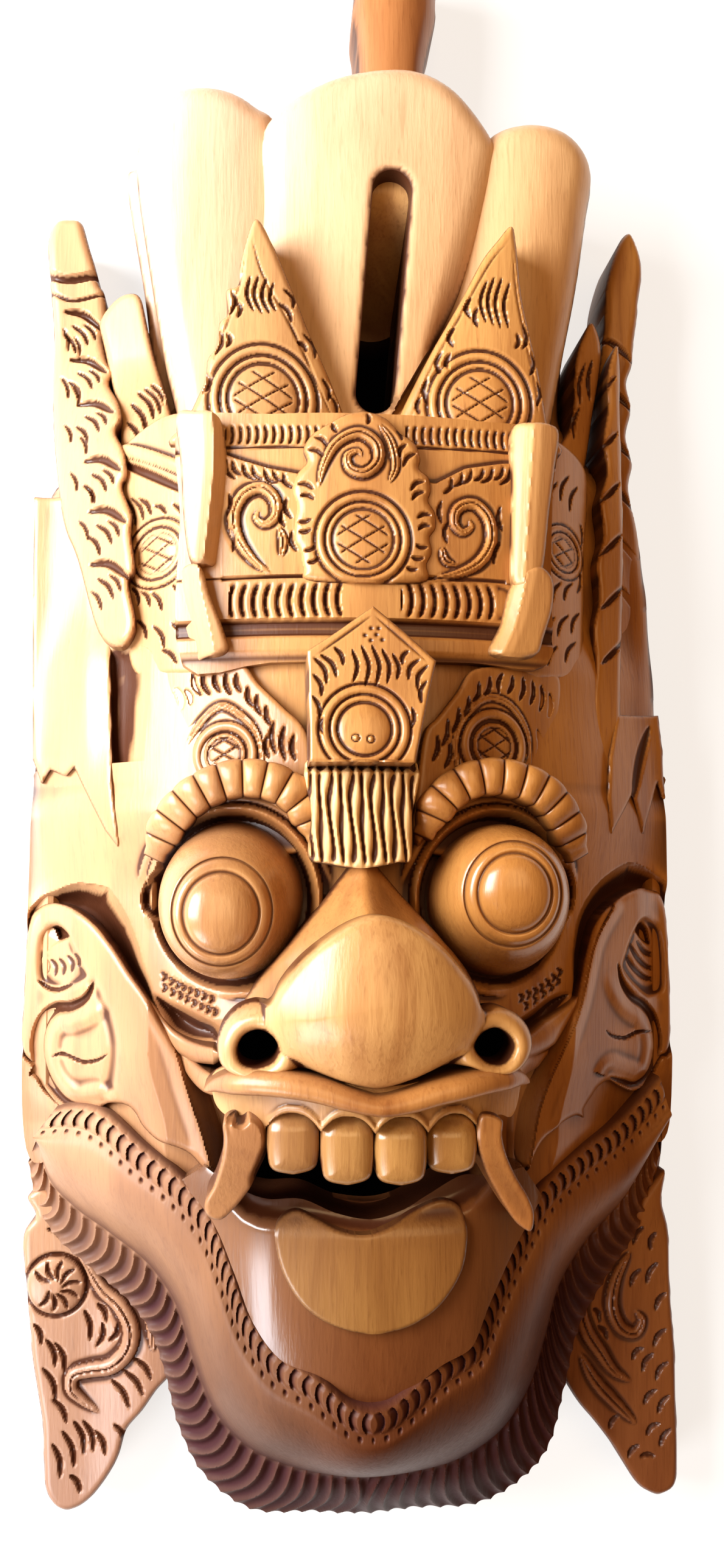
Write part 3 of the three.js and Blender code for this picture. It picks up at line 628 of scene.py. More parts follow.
# lobes and cuts under the panels' upper borders
tuft(diadem, [((-43.5, 76.5), (-40.5, 70), -1.2), ((-41.5, 76), (-38.6, 71), -1),
    ((-38.4, 75), (-34.4, 69.6), -1.3), ((-35.6, 74), (-32.4, 69.6), -1),
    ((-32.2, 73), (-27.6, 68.4), -1.3), ((-29.6, 72.6), (-25.6, 68.6), -1),
    ((-26.4, 71.6), (-23, 66.6), -1.3), ((-25.4, 64), (-23.8, 57.4), -1.2), ((-27, 61), (-25.8, 55), -1),
    ((-23.8, 54), (-22.2, 47.4), -1), ((-42.6, 66), (-42.8, 59), 1), ((-42.2, 56), (-41.2, 48), 1)], 1.7,
    1.2)
tuft(diadem, [((42.5, 76.5), (38.6, 70.4), 1.2), ((40, 76.4), (36.6, 71.6), 1),
    ((36.6, 75.8), (32.6, 70.4), 1.3), ((33.6, 75), (30.4, 70.8), 1), ((30, 74.6), (26, 69.4), 1.3),
    ((27, 73.2), (23.8, 68.4), 1.2), ((23.6, 71.6), (21, 66), 1.2), ((20.6, 64), (20.6, 57), -1),
    ((22.8, 58), (22.2, 51), -1.2), ((38.8, 64), (39.6, 56), -1), ((38.8, 53), (36.6, 45.6), -1)], 1.7,
    1.2)
scroll(diadem, [(-30, 40.9), (-35.2, 45.4), (-39.6, 52), (-41, 59), (-38.2, 65), (-33, 67), (-29, 63.6),
                (-28.6, 58.6), (-31.6, 56), (-34.4, 58), (-33.4, 60.6)], 3.8, 1.7)
scroll(diadem, [(-27, 46), (-26.4, 51), (-27.6, 55)], 2.6, 1)
scroll(diadem, [(17, 39.8), (25, 42), (32, 46), (35.8, 52.6), (35, 59.6), (30.6, 63.6), (25.6, 62),
    (24.2, 57.6), (26.8, 54.8), (29.6, 56.6), (28.8, 59)], 3.8, 1.7)
scroll(diadem, [(20.4, 50), (21.6, 46), (25, 44.6)], 2.4, 0.9)
diadem.gouge([(-44, 40.1), (40, 40.7)], 1.1, 1.0, taper=False)
# painted shade: the diadem darkens towards its lower edge
diadem.soak_and_shade += 0.16 * ease((34 - diadem.y) / 14)
diadem.build("diadem", 60, face_wood, foot=0.75)


# The diadem's shield stands proud in the middle: a scroll over a netted ring, and three leaf
# lobes down each side.

shield_loop = curve([(-17.2, 38.6), (-20.6, 42.5), (-21.6, 47.5), (-23.4, 51), (-23.2, 57), (-22.6, 61),
    (-24, 66), (-22.4, 71), (-19.6, 74.4), (-20.6, 78.4), (-18.4, 82.4), (-14, 85.4), (-8, 88.6),
    (-2, 89.4), (3.6, 87.6), (8, 83.4), (12.4, 80.4), (14, 76), (13.6, 73), (16.4, 70.6), (17.2, 66.6),
    (16.4, 63.4), (18.4, 60), (18.6, 55.4), (16.8, 52.4), (17.4, 48), (15.8, 44.4), (13.6, 38.6)],
    closed=True, per=5)
shield = Carving(shield_loop, 0.36, bowed(88.8, 0.006))
shield.shoulder(2.6, 2.0)
medallion(shield, (-3.2, 50.8), 12.6, rings=((1.0, 2.4, 1.3), (0.8, 1.5, 0.8)), pitch=5)
scroll(shield, [(-16.4, 66), (-14.6, 73), (-11, 79.4), (-4.6, 82.4), (0.6, 79.4), (1.2, 74), (-2.6, 70.4),
                (-7, 71.6), (-7.8, 75.4), (-4.8, 77), (-3.4, 75)], 3.6, 1.6)
scroll(shield, [(4.4, 67.4), (6.4, 73), (5, 80), (1.5, 85.4)], 2.6, 0.9)
tuft(shield, [((12.8, 77.4), (8.6, 72.6), -1), ((9.8, 79.8), (7.4, 75.6), -0.8),
    ((15.4, 69), (10.8, 65.6), -1), ((15.2, 65.8), (11.2, 62.8), -0.8),
    ((17.2, 58.8), (12.8, 57.6), -0.8), ((17, 55.6), (13, 54), -0.8), ((16.2, 49.4), (12.2, 49.6), 0.6),
    ((15, 46), (10.8, 46), 0.6), ((13, 42.4), (9.4, 42.8), 0.5), ((-19.4, 77.8), (-14.6, 75.4), 0.8),
    ((-17.6, 81.6), (-13.6, 78.4), 0.8), ((-22.4, 67.6), (-17.6, 65.6), 0.8),
    ((-21.6, 64), (-17.4, 62.6), 0.8), ((-22.2, 56.4), (-18.2, 57), -0.6), ((-22, 53.4), (-18, 54), -0.6),
    ((-20.4, 47.6), (-17, 49), -0.6), ((-19.4, 44), (-16, 45.4), -0.6), ((-12, 86), (-10.6, 82.6), -0.6),
    ((-2, 88.6), (-2, 85), 0.6), ((6.4, 84), (8.4, 80.6), 0.6)], 1.7, 1.2)
shield.build("diadem_shield", 70, face_wood, foot=0.8)


# Corner posts either side of the diadem: an upper and a lower post each, whose long faces meet in
# a ridge, one side pale and the other turned away.

def post(name, loop, crest, top, fall_left, fall_right):
    """A post whose height falls away from a crest line by so much per millimetre on each side."""
    crest = curve(crest)

    def height(x, y):
        far, _, side = reach(x, y, crest)
        return top(x, y) - far * np.where(side > 0, fall_left, fall_right) + 0.5 * ease(far / 3)
    slab = Carving(curve(loop, closed=True, per=6), 0.55, height)
    slab.shoulder(1.6, 1.3)
    slab.build(name, 50, crown_wood, foot=0.8)


post("post_left_upper", [(-58, 88.6), (-52, 89.4), (-45.4, 88), (-43.4, 80), (-41.8, 68), (-42.6, 56),
    (-44.6, 45.4), (-49, 44), (-53.6, 45.4), (-55.6, 58), (-56.6, 74)], [(-50, 40), (-47.6, 62),
    (-46.8, 76), (-47.4, 90)], lambda x, y: 85 + 0.03 * (y - 60), 0.35, 1.6)
post("post_left_lower", [(-58, 41.6), (-54.6, 44.4), (-50.2, 42.6), (-47.4, 34), (-43.4, 24),
    (-42.4, 18.4), (-48, 16.8), (-56, 17.6), (-57.4, 30)], [(-51.4, 46), (-50.2, 36), (-47.8, 26),
    (-45.6, 15)], lambda x, y: 84, 0.3, 1.5)
post("post_right_upper", [(41.8, 40), (41.6, 52), (42.2, 70), (42.4, 87.6), (48.6, 88.8), (56.6, 87.8),
    (55.4, 76), (53.4, 62), (51, 44), (46.4, 39)], [(44.8, 38), (46.4, 60), (48.6, 90)], lambda x, y: 86,
    0.7, 0.4)
post("post_right_lower", [(34.6, 19), (38.2, 27), (41, 38), (45, 43.4), (50.6, 44.8), (54.4, 41),
    (54.2, 33), (51.4, 24), (49.2, 18.8), (42, 17.4)], [(37, 16), (42.4, 28), (46.6, 46)],
    lambda x, y: 86, 0.9, 0.35)


# ---- Temples -----------------------------------------------------------------------------------
# Carved panels run back from the posts over the temples, each with a small netted medallion.

temple_left = Carving(curve([(-82, 88), (-76, 92), (-62, 96), (-53, 90), (-52, 60), (-50, 30), (-49, 15),
    (-60, 14), (-72, 16.6), (-75.6, 34), (-76.6, 54), (-80, 72)], closed=True, per=6), 0.45,
    lambda x, y: 62 + 0.9 * (x + 65) - 0.012 * (x + 65) ** 2)
temple_left.shoulder(2, 1.6)
temple_left.gouge(curve([(-80, 87), (-70, 80), (-53, 68)]), 3.4, 2.4)
temple_left.ridge(curve([(-78, 90), (-68, 84), (-52, 74)]), 4, 1.6, taper=False)
medallion(temple_left, (-65, 52.5), 9.6, rings=((1.0, 2.2, 1.1), (0.74, 1.3, 0.6)), pitch=4.4)
tuft(temple_left, [((-77, 74), (-72.5, 63), 1.2), ((-74.5, 73), (-69.5, 64), 1.2),
    ((-72, 72), (-67, 65), 1.2), ((-66.5, 68), (-62, 64), 1), ((-60, 67), (-56.4, 60), 1.2),
    ((-58, 66), (-54, 58), 1.2), ((-74.6, 58), (-75, 50), 1), ((-57, 48), (-56, 41), -1),
    ((-74, 44), (-71, 37), 1.2), ((-71, 42), (-67, 36), 1.2), ((-67, 41), (-63, 34), 1),
    ((-60, 42), (-56, 33), 1.2), ((-72, 33), (-68, 26), 1.2), ((-66, 30), (-62, 22), 1.2),
    ((-60, 30), (-56, 22), 1.2), ((-70, 24), (-66, 18), 1), ((-63, 22), (-58, 17), 1)], 1.6, 1.2)
temple_left.build("temple_left", 24, face_wood, foot=0.8)

temple_right = Carving(curve([(74, 88), (62, 92), (54, 90), (51, 60), (48, 30), (46, 16), (58, 14.6),
    (70, 20), (72.4, 40), (73, 60), (75, 76)], closed=True, per=6), 0.45,
    lambda x, y: 62 - 0.95 * (x - 63) - 0.012 * (x - 63) ** 2)
temple_right.shoulder(2, 1.6)
# painted shade: the right side, away from the window, is darkened
temple_right.soak_and_shade += 0.15
medallion(temple_right, (63.4, 56), 7.6, rings=((1.0, 2.0, 1.1), (0.74, 1.2, 0.6)), pitch=4)
tuft(temple_right, [((70, 80), (66, 70), -1.2), ((66, 82), (62, 72), -1.2), ((61, 78), (57.6, 70), -1.2),
    ((71, 68), (71.4, 60), 1), ((56.4, 66), (55, 58), -1), ((70.6, 52), (69, 44), 1),
    ((67, 47), (63, 40), -1.2), ((62, 46), (58, 38), -1.2), ((56, 50), (53, 42), -1.2),
    ((70, 38), (66, 30), -1.2), ((65, 36), (60, 28), -1.2), ((59, 34), (55, 26), -1.2),
    ((68, 28), (63, 20), -1.2), ((60, 25), (56, 18), -1)], 1.6, 1.2)
temple_right.build("temple_right", 24, face_wood, foot=0.85)


# ---- Winged sides --------------------------------------------------------------------------------
# Notched leaves stand like horns at the temples, tall and thin, their outer faces plain and their
# inner edges cut in steps. Behind each a second leaf leans towards the crown.

horn_left = Carving(curve([(-104.6, 178.6), (-100, 180), (-95.8, 179), (-93.6, 172), (-90.8, 163),
    (-89.4, 157), (-87.4, 153), (-86, 141), (-87.6, 139), (-85.6, 128), (-83, 122), (-84, 117),
    (-80, 108), (-78.4, 101), (-80, 96), (-76.6, 88), (-75.6, 80), (-77, 76), (-73.4, 66), (-73.6, 60),
    (-72, 48), (-74, 44), (-71.4, 30), (-76, 24), (-84, 30), (-92, 55), (-98, 70), (-102.4, 95),
    (-104.2, 116), (-104.4, 138), (-106.4, 160), (-107, 172)], closed=True, per=5), 0.5,
    lambda x, y: 27 + 0.85 * (x + 106) * ease((150 - y) / 60) + 6 * ease((120 - y) / 80))
horn_left.shoulder(3.2, 3.2)
horn_left.gouge(curve([(-108, 160), (-100, 157.5), (-89, 160)]), 3.6, 2.6, taper=False)
horn_left.gouge(curve([(-106, 153), (-98, 150), (-87, 153)]), 1.6, 1.0, taper=False)
for k, (bx, by) in enumerate([(-88, 140), (-85.4, 122), (-81.6, 104), (-78, 82), (-75.6, 64), (-74.6, 46)]):
    horn_left.gouge(curve([(bx - 13, by + 6), (bx - 6, by + 5), (bx + 1, by - 1)]), 3.2, 2.4)
    tuft(horn_left, [((bx - 10, by + 1), (bx - 4, by - 7), 1.3),
        ((bx - 13, by - 2), (bx - 8, by - 10), 1.2), ((bx - 6, by + 1.5), (bx - 1.6, by - 5), 1.1)], 1.7,
        1.2)
tuft(horn_left, [((-101, 140), (-99, 131), 1), ((-97, 137), (-95, 128), 1), ((-101, 122), (-98, 113), 1),
    ((-97, 118), (-94, 109), 1), ((-99, 104), (-96, 96), 1), ((-93, 98), (-90, 90), 1),
    ((-96, 86), (-93, 78), 1), ((-90, 80), (-87, 72), 1), ((-92, 68), (-88, 60), 1)], 1.5, 1.0)
horn_left.build("horn_left", 4, face_wood, foot=0.55)

inner_left = Carving(curve([(-84, 146), (-79, 148.4), (-74, 146.4), (-71.4, 136), (-69, 126), (-65, 112),
    (-61, 98), (-56, 86), (-70, 78), (-78, 88), (-79.4, 100), (-82.4, 114), (-86, 130), (-88, 140)],
    closed=True, per=6), 0.55, lambda x, y: 38 + 0.5 * (x + 78) + 8 * ease((126 - y) / 40))
inner_left.shoulder(2.4, 2.4)
tuft(inner_left, [((-74, 112), (-67.6, 100), 1.6), ((-71.6, 113), (-65.4, 101.6), 1.6),
    ((-76, 108), (-70, 95), 1.6), ((-69.4, 114), (-64.6, 105), 1.2), ((-77, 101), (-72, 91), 1.4)], 2.0,
    1.6)
inner_left.build("inner_leaf_left", 8, face_wood, foot=0.8)

horn_right = Carving(curve([(92.6, 176), (96, 182), (98.6, 182), (101.4, 174.6), (102, 167), (100.6, 158),
    (100, 151.5), (98.6, 142), (97.8, 134), (95.6, 127), (97.2, 118), (95, 108), (97, 98), (95.6, 88),
    (99.4, 70), (102.6, 40), (103.4, 0), (101, -16), (84, -18), (84, 10), (86, 40), (84, 70), (86, 100),
    (85, 124), (87.8, 146), (88.8, 162)], closed=True, per=5), 0.55,
    lambda x, y: 30 - 0.75 * (x - 92) * ease((110 - y) / 60) + 4 * ease((120 - y) / 80))
horn_right.shoulder(3.2, 3.2)
for by in (140, 122, 104, 86, 68, 50):
    horn_right.gouge(curve([(84, by + 3), (90, by + 1), (98, by - 6)]), 2.8, 1.8)
# painted shade: the right side, away from the window, is darkened
horn_right.soak_and_shade += 0.12
horn_right.build("horn_right", 4, face_wood, foot=0.6)

spike_right = Carving(curve([(80.6, 144), (76.8, 138), (73.5, 128), (71.4, 106), (64, 92), (70, 84),
    (76, 90), (80, 110), (84.2, 134)], closed=True, per=6), 0.55, lambda x, y: 42 - 0.5 * (x - 76))
spike_right.shoulder(2.6, 2.6)
tuft(spike_right, [((77, 128), (75, 112), -1.5), ((80, 130), (79, 114), -1.5),
    ((74.6, 112), (72, 100), -1.2)], 1.8, 1.4)
# painted shade: the right side, away from the window, is darkened
spike_right.soak_and_shade += 0.1
spike_right.build("spike_right", 8, face_wood, foot=0.8)

strip_right = Carving(curve([(89.6, 135), (85, 126), (84.4, 112), (82, 100), (82.6, 88), (79.4, 78),
    (80.2, 66), (77.4, 56), (78, 44), (75.4, 34), (76, 22), (74.6, 6), (78, -20), (79.8, -33), (86, -20),
    (86, 10), (88, 50), (89.4, 100)], closed=True, per=5), 0.55,
    lambda x, y: 50 - 0.6 * (x - 80) - 4 * ease((y - 60) / 60))
strip_right.shoulder(2.4, 2.6)
for by in (118, 98, 80, 62, 44, 26):
    strip_right.gouge(curve([(88, by + 6), (83.6, by + 1), (78, by - 4)]), 2.4, 1.8)
strip_right.build("strip_right", 6, face_wood, foot=0.7)


# Below the horns the sides are left plain and end over the cheeks in cut and folded points.
plate_left = Carving(np.array([(-108.4, 79), (-80.6, 78.6), (-79.6, 50), (-80.4, 24), (-79.4, 2),
    (-78.4, -18), (-75.4, -39), (-80.4, -33), (-86, -23), (-91.8, -12.4), (-94.6, -15), (-97.4, -14),
    (-100.6, -12.6), (-103.6, -17), (-106.8, -9), (-107.6, 30)]), 0.55, lambda x, y: head(x, y) + 2.8)
plate_left.shoulder(1.6, 1.2)
plate_left.z -= 3 * ease((plate_left.x + 90) / 12) * ease((plate_left.y + 30) / 30)
plate_left.build("side_left", lambda x, y: head(x, y) - 7, face_wood, foot=0.75)

fold_right = Carving(np.array([(103, 8), (84, 6), (80, -8), (78.6, -22), (80, -34), (85, -27), (90, -20),
    (95, -33.6), (98.6, -24), (102, -15.4), (105, -22), (104.4, -4)]), 0.55,
    lambda x, y: head(x, y) + 2.6)
fold_right.shoulder(1.6, 1.2)
fold_right.gouge(curve([(99, 4), (94, -8), (90, -22)]), 5, 2)
fold_right.build("side_right", lambda x, y: head(x, y) - 7, face_wood, foot=0.75)


# ---- Topknot -------------------------------------------------------------------------------------
# A tapered peg of redder wood rises behind the middle petal and rounds over at its end.

knot_wood = wood("topknot_wood", [(0.6, (0.50, 0.24, 0.105)), (0.99, (0.47, 0.21, 0.09))], dark_stain_and_shade,
    rough=0.42)
topknot = Carving(curve([(1, 196), (0.5, 218), (0.3, 237), (-0.6, 252), (-1.6, 262), (0.6, 280),
    (6, 288.6), (14, 290), (22, 288.6), (27.4, 280), (28.4, 262), (25.4, 248), (23.2, 236), (22.6, 216),
    (22, 196)], closed=True, per=6), 0.7, lambda x, y: 38 - 0.035 * (x - 13) ** 2)
topknot.shoulder(5, 6)
topknot.build("topknot", 8, knot_wood, foot=0.4)


# ---- Brows ---------------------------------------------------------------------------------------
# Under the diadem a leaf-shaped panel with a netted ring sits over each eye, and a bunched eyebrow
# of gadroons arches along its foot.

def arch(name, line, half, lobes, base, finish):
    """A raised strip along a line of x, y, z points, half wide either side and cut into so many
    round lobes; its section is half a round, each lobe swelling along the line as |sin|."""
    line = curve(line, per=30)
    step = np.diff(line, axis=0)
    run = np.concatenate([[0], np.cumsum(np.hypot(step[:, 0], step[:, 1]))])
    s = np.linspace(0, 1, 14 * lobes + 1)
    at = np.stack([np.interp(s * run[-1], run, line[:, k]) for k in range(3)], 1)
    lead = np.gradient(at, axis=0)
    lead /= np.hypot(lead[:, 0], lead[:, 1])[:, None]
    t = np.linspace(-1, 1, 25)
    swell = np.abs(np.sin(np.pi * lobes * s)) ** 0.5
    ends = np.clip(np.minimum(s, 1 - s) * lobes * 0.8, 0.35, 1) ** 0.5
    width = half * ends * (0.90 + 0.10 * swell)
    round_ = np.sqrt(np.clip(1 - t ** 2, 0, 1))[None, :]
    rise = 3.4 * round_ * (0.45 + 0.55 * swell[:, None]) * ends[:, None]
    x = at[:, 0, None] - lead[:, 1, None] * t * width[:, None]
    y = at[:, 1, None] + lead[:, 0, None] * t * width[:, None]
    z = at[:, 2, None] + rise
    # painted shade in the creases between the lobes and along the strip's edges
    stain = np.clip(0.9 - 2.1 * swell[:, None] + 0.25 * np.abs(t)[None, :] ** 3, 0, 1) + 0 * x
    return strip(name, np.stack([x, y, z], -1), base, stain, finish)


def strip(name, grid, drop, stain, finish):
    """Closes a strip of points (along, across, xyz) with its own underside, drop lower."""
    rows, cols = grid.shape[:2]
    under = grid.copy()
    under[..., 2] = np.minimum(grid[..., 2], grid[:, [0, -1], 2].min(1)[:, None]) - drop
    points = np.concatenate([grid.reshape(-1, 3), under.reshape(-1, 3)])
    number = np.arange(rows * cols).reshape(rows, cols)
    a, b, c, d = number[:-1, :-1], number[:-1, 1:], number[1:, 1:], number[1:, :-1]
    face = np.stack([a, d, c, b], -1).reshape(-1, 4)
    rim = np.concatenate([number[:, 0], number[-1, 1:], number[-2::-1, -1], number[0, -2:0:-1]])
    after = np.roll(rim, -1)
    size = rows * cols
    walls = np.stack([after, rim, rim + size, after + size], 1)
    quads = np.concatenate([face, face[:, ::-1] + size, walls])
    edge_a, edge_b = grid[1:, :-1] - grid[:-1, :-1], grid[:-1, 1:] - grid[:-1, :-1]
    if np.cross(edge_a, edge_b)[..., 2].mean() < 0:
        quads = quads[:, ::-1]
    # painted shade on the undersides
    marks = np.concatenate([stain.ravel(), np.full(size, 0.8)])
    return fit(name, points, quads, np.zeros((0, 3), int), marks, finish, 50)


brow_left = Carving(curve([(-66, 16), (-56, 17), (-40, 16.6), (-33, 9), (-26, 2), (-19.6, -5), (-17, -16),
    (-15, -34), (-20, -40), (-40, -42), (-62, -42), (-68.6, -44), (-68, -30), (-67, -10), (-66.6, 4)],
    closed=True, per=6), 0.42, lambda x, y: 87.5 - 0.0062 * x ** 2 + 0.02 * (y + 10))
brow_left.shoulder(1.8, 1.4)
medallion(brow_left, (-43.3, -11.4), 8.4, rings=((1.0, 3.0, 1.9), (0.68, 1.4, 0.9)), pitch=3.8)
scroll(brow_left, [(-55.6, -22), (-55.4, -10), (-50.4, -1.4), (-44.6, 3), (-39, 0.4), (-33.6, -6),
    (-31.4, -18)], 2.4, 0.8, 0.5)
tuft(brow_left, [((-61.6, 9.6), (-59.4, 2.6), 0.9), ((-58.6, 9.8), (-56.4, 3), 0.9),
    ((-55.4, 9), (-53.6, 4), 0.7), ((-53, 14), (-50.2, 6.6), -1), ((-50, 14), (-47.4, 6.4), -1),
    ((-46.4, 13.4), (-44.4, 7), -0.8), ((-43, 13), (-41.2, 6), -0.8), ((-39.8, 12.6), (-38.2, 6.6), -0.8),
    ((-36.4, 8.6), (-34.4, 2), -1), ((-33.6, 6), (-32, -0.6), -1), ((-31, 2.6), (-29.4, -3.6), -0.8),
    ((-28.6, -2), (-28, -12), -1.2), ((-25.6, -3.4), (-25.2, -14), -1.2), ((-22.8, -6), (-22.4, -14), -1),
    ((-30.4, -6), (-30, -13), -1), ((-65, 3), (-63.2, -6), 0.9), ((-61.8, -2), (-60, -10), 0.9),
    ((-65.6, -8), (-64.4, -18), 0.9), ((-62.2, -13), (-61, -21), 0.9), ((-58.8, -6), (-57.6, -14), 0.9),
    ((-58.8, -17), (-58, -22), 0.6), ((-21, -18), (-19.6, -26), 0.8), ((-24.6, -17), (-24, -21), 0.6),
    ((-65.6, -22), (-65.2, -32), 0.9), ((-19.4, -28), (-18, -35), 0.8),
    ((-62.6, -26), (-62.4, -33), 0.8)], 1.9, 1.4)
under_arch = 30 - np.hypot(brow_left.x + 40.6, brow_left.y + 54)
brow_left.z -= 8 * ease(under_arch / 3)
# painted shade in the hollow under the eyebrow
brow_left.soak_and_shade += 0.05 + 0.9 * ease(under_arch / 2.4)
brow_left.build("brow_left", lambda x, y: 60 - 0.004 * x ** 2, face_wood, foot=0.8)

brow_right = Carving(curve([(60.6, 16), (48, 16.4), (31, 14.4), (25, 7), (19, -0.6), (15, -5.4),
    (13, -18), (12, -36), (20, -41), (40, -42), (60, -42), (67.4, -41), (66, -28), (63, -8), (61.6, 4)],
    closed=True, per=6), 0.42, lambda x, y: 87.5 - 0.0066 * x ** 2 + 0.02 * (y + 10))
brow_right.shoulder(1.8, 1.4)
medallion(brow_right, (37, -8.4), 9.6, rings=((1.0, 3.0, 1.9), (0.66, 1.4, 0.9)), pitch=4.2)
scroll(brow_right, [(26, -20), (24.4, -8), (28.4, 1), (35, 6), (43, 4), (48.6, -4), (49.4, -16)], 2.4,
    0.8, 0.5)
tuft(brow_right, [((40, 14), (38.6, 7.6), -0.8), ((43.4, 13.6), (41.4, 7.6), 0.8),
    ((47, 13.6), (45.6, 6), 1), ((50.4, 13), (49.4, 5), 1), ((53.6, 12), (53, 3.4), 1),
    ((56.8, 10), (56.4, 2), 0.8), ((35.6, 12.6), (33.6, 6), 0.9), ((32, 10.6), (30, 4), 1),
    ((28.6, 6), (26.6, -0.6), 1), ((25.4, 2.6), (23.2, -5.4), 1), ((22, -1), (20, -9.6), 1),
    ((22.6, -8), (20.8, -16), 1), ((18.8, -6), (17.2, -14), 0.9), ((20.4, -19), (18.4, -25), 0.8),
    ((52, -2), (52.4, -11), 1), ((55, -4), (56, -14), 1), ((58.4, -6), (59.6, -16), 1),
    ((53, -14), (54.4, -21), 1), ((60, -20), (61.6, -29), 1), ((57, -18), (58.4, -25), 1),
    ((16.6, -28), (15, -35), 0.8)], 1.9, 1.4)
under_arch = 30 - np.hypot(brow_right.x - 37.8, brow_right.y + 54)
brow_right.z -= 8 * ease(under_arch / 3)
# painted shade in the hollow under the eyebrow
brow_right.soak_and_shade += 0.08 + 0.9 * ease(under_arch / 2.4)
brow_right.build("brow_right", lambda x, y: 60 - 0.004 * x ** 2, face_wood, foot=0.8)

arch("eyebrow_left", [(-64, -42, 72), (-59, -32, 81), (-51, -24, 87.5), (-40, -19.6, 90),
    (-29, -20.6, 91.5), (-21, -26, 91), (-15.6, -37, 87.5)], 5.4, 11, 12, face_wood)
arch("eyebrow_right", [(14, -36, 87.5), (18.4, -26.6, 91.5), (26, -20.4, 92), (36.4, -18.6, 91),
    (48.6, -22, 88), (57, -29.6, 82), (64, -41.6, 73)], 5.4, 11, 12, face_wood)


# ---- Plaque and forelock -------------------------------------------------------------------------
# A five-sided plaque hangs over the bridge of the nose, carved with a disc in rings; pale combed
# hair falls from under it.

plaque = Carving([(-19.2, -16.4), (-19.4, 0), (-19.8, 14.6), (-12, 19.8), (-1.7, 27.4), (7, 20.2),
    (15.8, 12.2), (13.4, 2), (9.6, -16.4)], 0.32,
    lambda x, y: 104.5 - 0.03 * (y - 5) + 1.4 * ease((8 - y) / 22))
plaque.shoulder(1.0, 0.8)
plaque.gouge([(-17.6, 13), (-1.8, 24.8)], 1.0, 0.4)
plaque.gouge([(-1.6, 24.8), (13.6, 11.6)], 1.0, 0.4)
ring_far = np.hypot(plaque.x + 4.2, plaque.y + 7.2)
plaque.z -= 0.9 * (1 - ease((ring_far - 12.6) / 0.9)) * (plaque.y > -15.6)
for radius, width, height in ((11.2, 2.6, 1.2), (8.6, 1.7, 0.9)):
    plaque.z += height * np.sqrt(1 - np.clip(np.abs(ring_far - radius) / (width / 2), 0, 1) ** 2)
plaque.z += 1.5 * np.sqrt(np.clip(1 - (ring_far / 7.2) ** 2, 0, 1))
for dot_x, dot_y in ((-6.7, -9.8), (-2.6, -10.1)):
    plaque.z += 0.5 * np.clip(1 - (np.hypot(plaque.x - dot_x, plaque.y - dot_y) / 0.75) ** 2, 0, 1)
    plaque.z -= 0.45 * np.clip(1 - np.abs(np.hypot(plaque.x - dot_x, plaque.y - dot_y) - 1.05) / 0.3, 0, 1)
for dot_x, dot_y in ((-4, 19), (-2.4, 17.6), (-0.8, 19.2), (0.8, 17.8), (-2.3, 21), (-0.2, 21)):
    plaque.z -= 0.5 * np.clip(1.3 - np.hypot(plaque.x - dot_x, plaque.y - dot_y) / 0.6, 0, 1)
tuft(plaque, [((-7.6, 15), (-7.4, 5.6), 1.4), ((-5, 16.2), (-4, 4.6), 1.6), ((-2.2, 16.4), (-1, 4.8), 1.6),
              ((0.6, 15.4), (2, 5.4), 1.5), ((3.6, 14), (4.8, 6.6), 1.2)], 1.5, 1.2)
tuft(plaque, [((-18.2, 12.6), (-14.6, 5), 1.4), ((-16.4, 13.4), (-11.8, 7), 1.3),
    ((-18.4, 8), (-16, 1.6), 1.1), ((-12.6, 15.6), (-10, 10.4), 0.9), ((-18.6, 2), (-16.6, -4), 0.9),
    ((13.6, 11), (10.6, 3.6), -1.4), ((11.2, 12.6), (8, 6.6), -1.2), ((13.2, 6.6), (11.6, 0), -1.1),
    ((8.2, 15), (6.4, 10.6), -0.9), ((-15.4, -4), (-15.4, -9), -0.8), ((8.8, -1), (8.6, -7), 0.8)], 1.6,
    1.1)
plaque.build("brow_plaque", 80, wood("plaque_wood", wood_tones, dark_stain_and_shade, coat=0.4), foot=0.7)

hair_wood = wood("hair_wood", [(0.3, (0.72, 0.46, 0.22)), (0.6, (0.74, 0.49, 0.25))], dark_stain_and_shade,
    rough=0.5, coat=0.1)
forelock = Carving(curve([(-18.2, -13), (-18.2, -30), (-18.6, -41.6), (-14, -43.6), (-4, -45), (6, -43.4),
    (10, -42), (10.2, -30), (10.4, -13)], closed=True, per=5), 0.34,
    lambda x, y: 97 - 0.012 * (x + 4) ** 2 + 1.2 * ease((y + 45) / 20))
wander = forelock.x + 0.5 * np.sin(forelock.y / 5.5) + 0.35 * np.sin(forelock.y / 2.7 + forelock.x)
flute = 0.5 + 0.5 * np.cos(2 * np.pi * (wander + 4) / 2.9)
forelock.z -= 1.5 * flute ** 1.6 * ease((forelock.y + 46) / 5)
forelock.z -= 3.5 * ease((forelock.y + 18.4) / 2.0)
forelock.shoulder(0.9, 0.8)
forelock.build("forelock", 76, hair_wood, soak_and_shade=0.8, foot=0.7)


# ---- Face ----------------------------------------------------------------------------------------
# The face is cut from the block in two halves: sunk sockets with ringed lids for the bulging eyes,
# a trough that frees each ear leaf, and folds of skin that run down to the mouth's corners.

mouth_side_left = curve([(-47, -96), (-50, -102), (-46.4, -112), (-44.4, -122), (-44.6, -136), (-50, -150),
                         (-30, -158), (2, -158), (4, -96)], closed=True)
mouth_side_right = curve([(38, -96), (44, -102), (46, -112), (45.6, -124), (46.6, -136), (52, -150),
                          (30, -158), (-4, -158), (-4, -96)], closed=True)


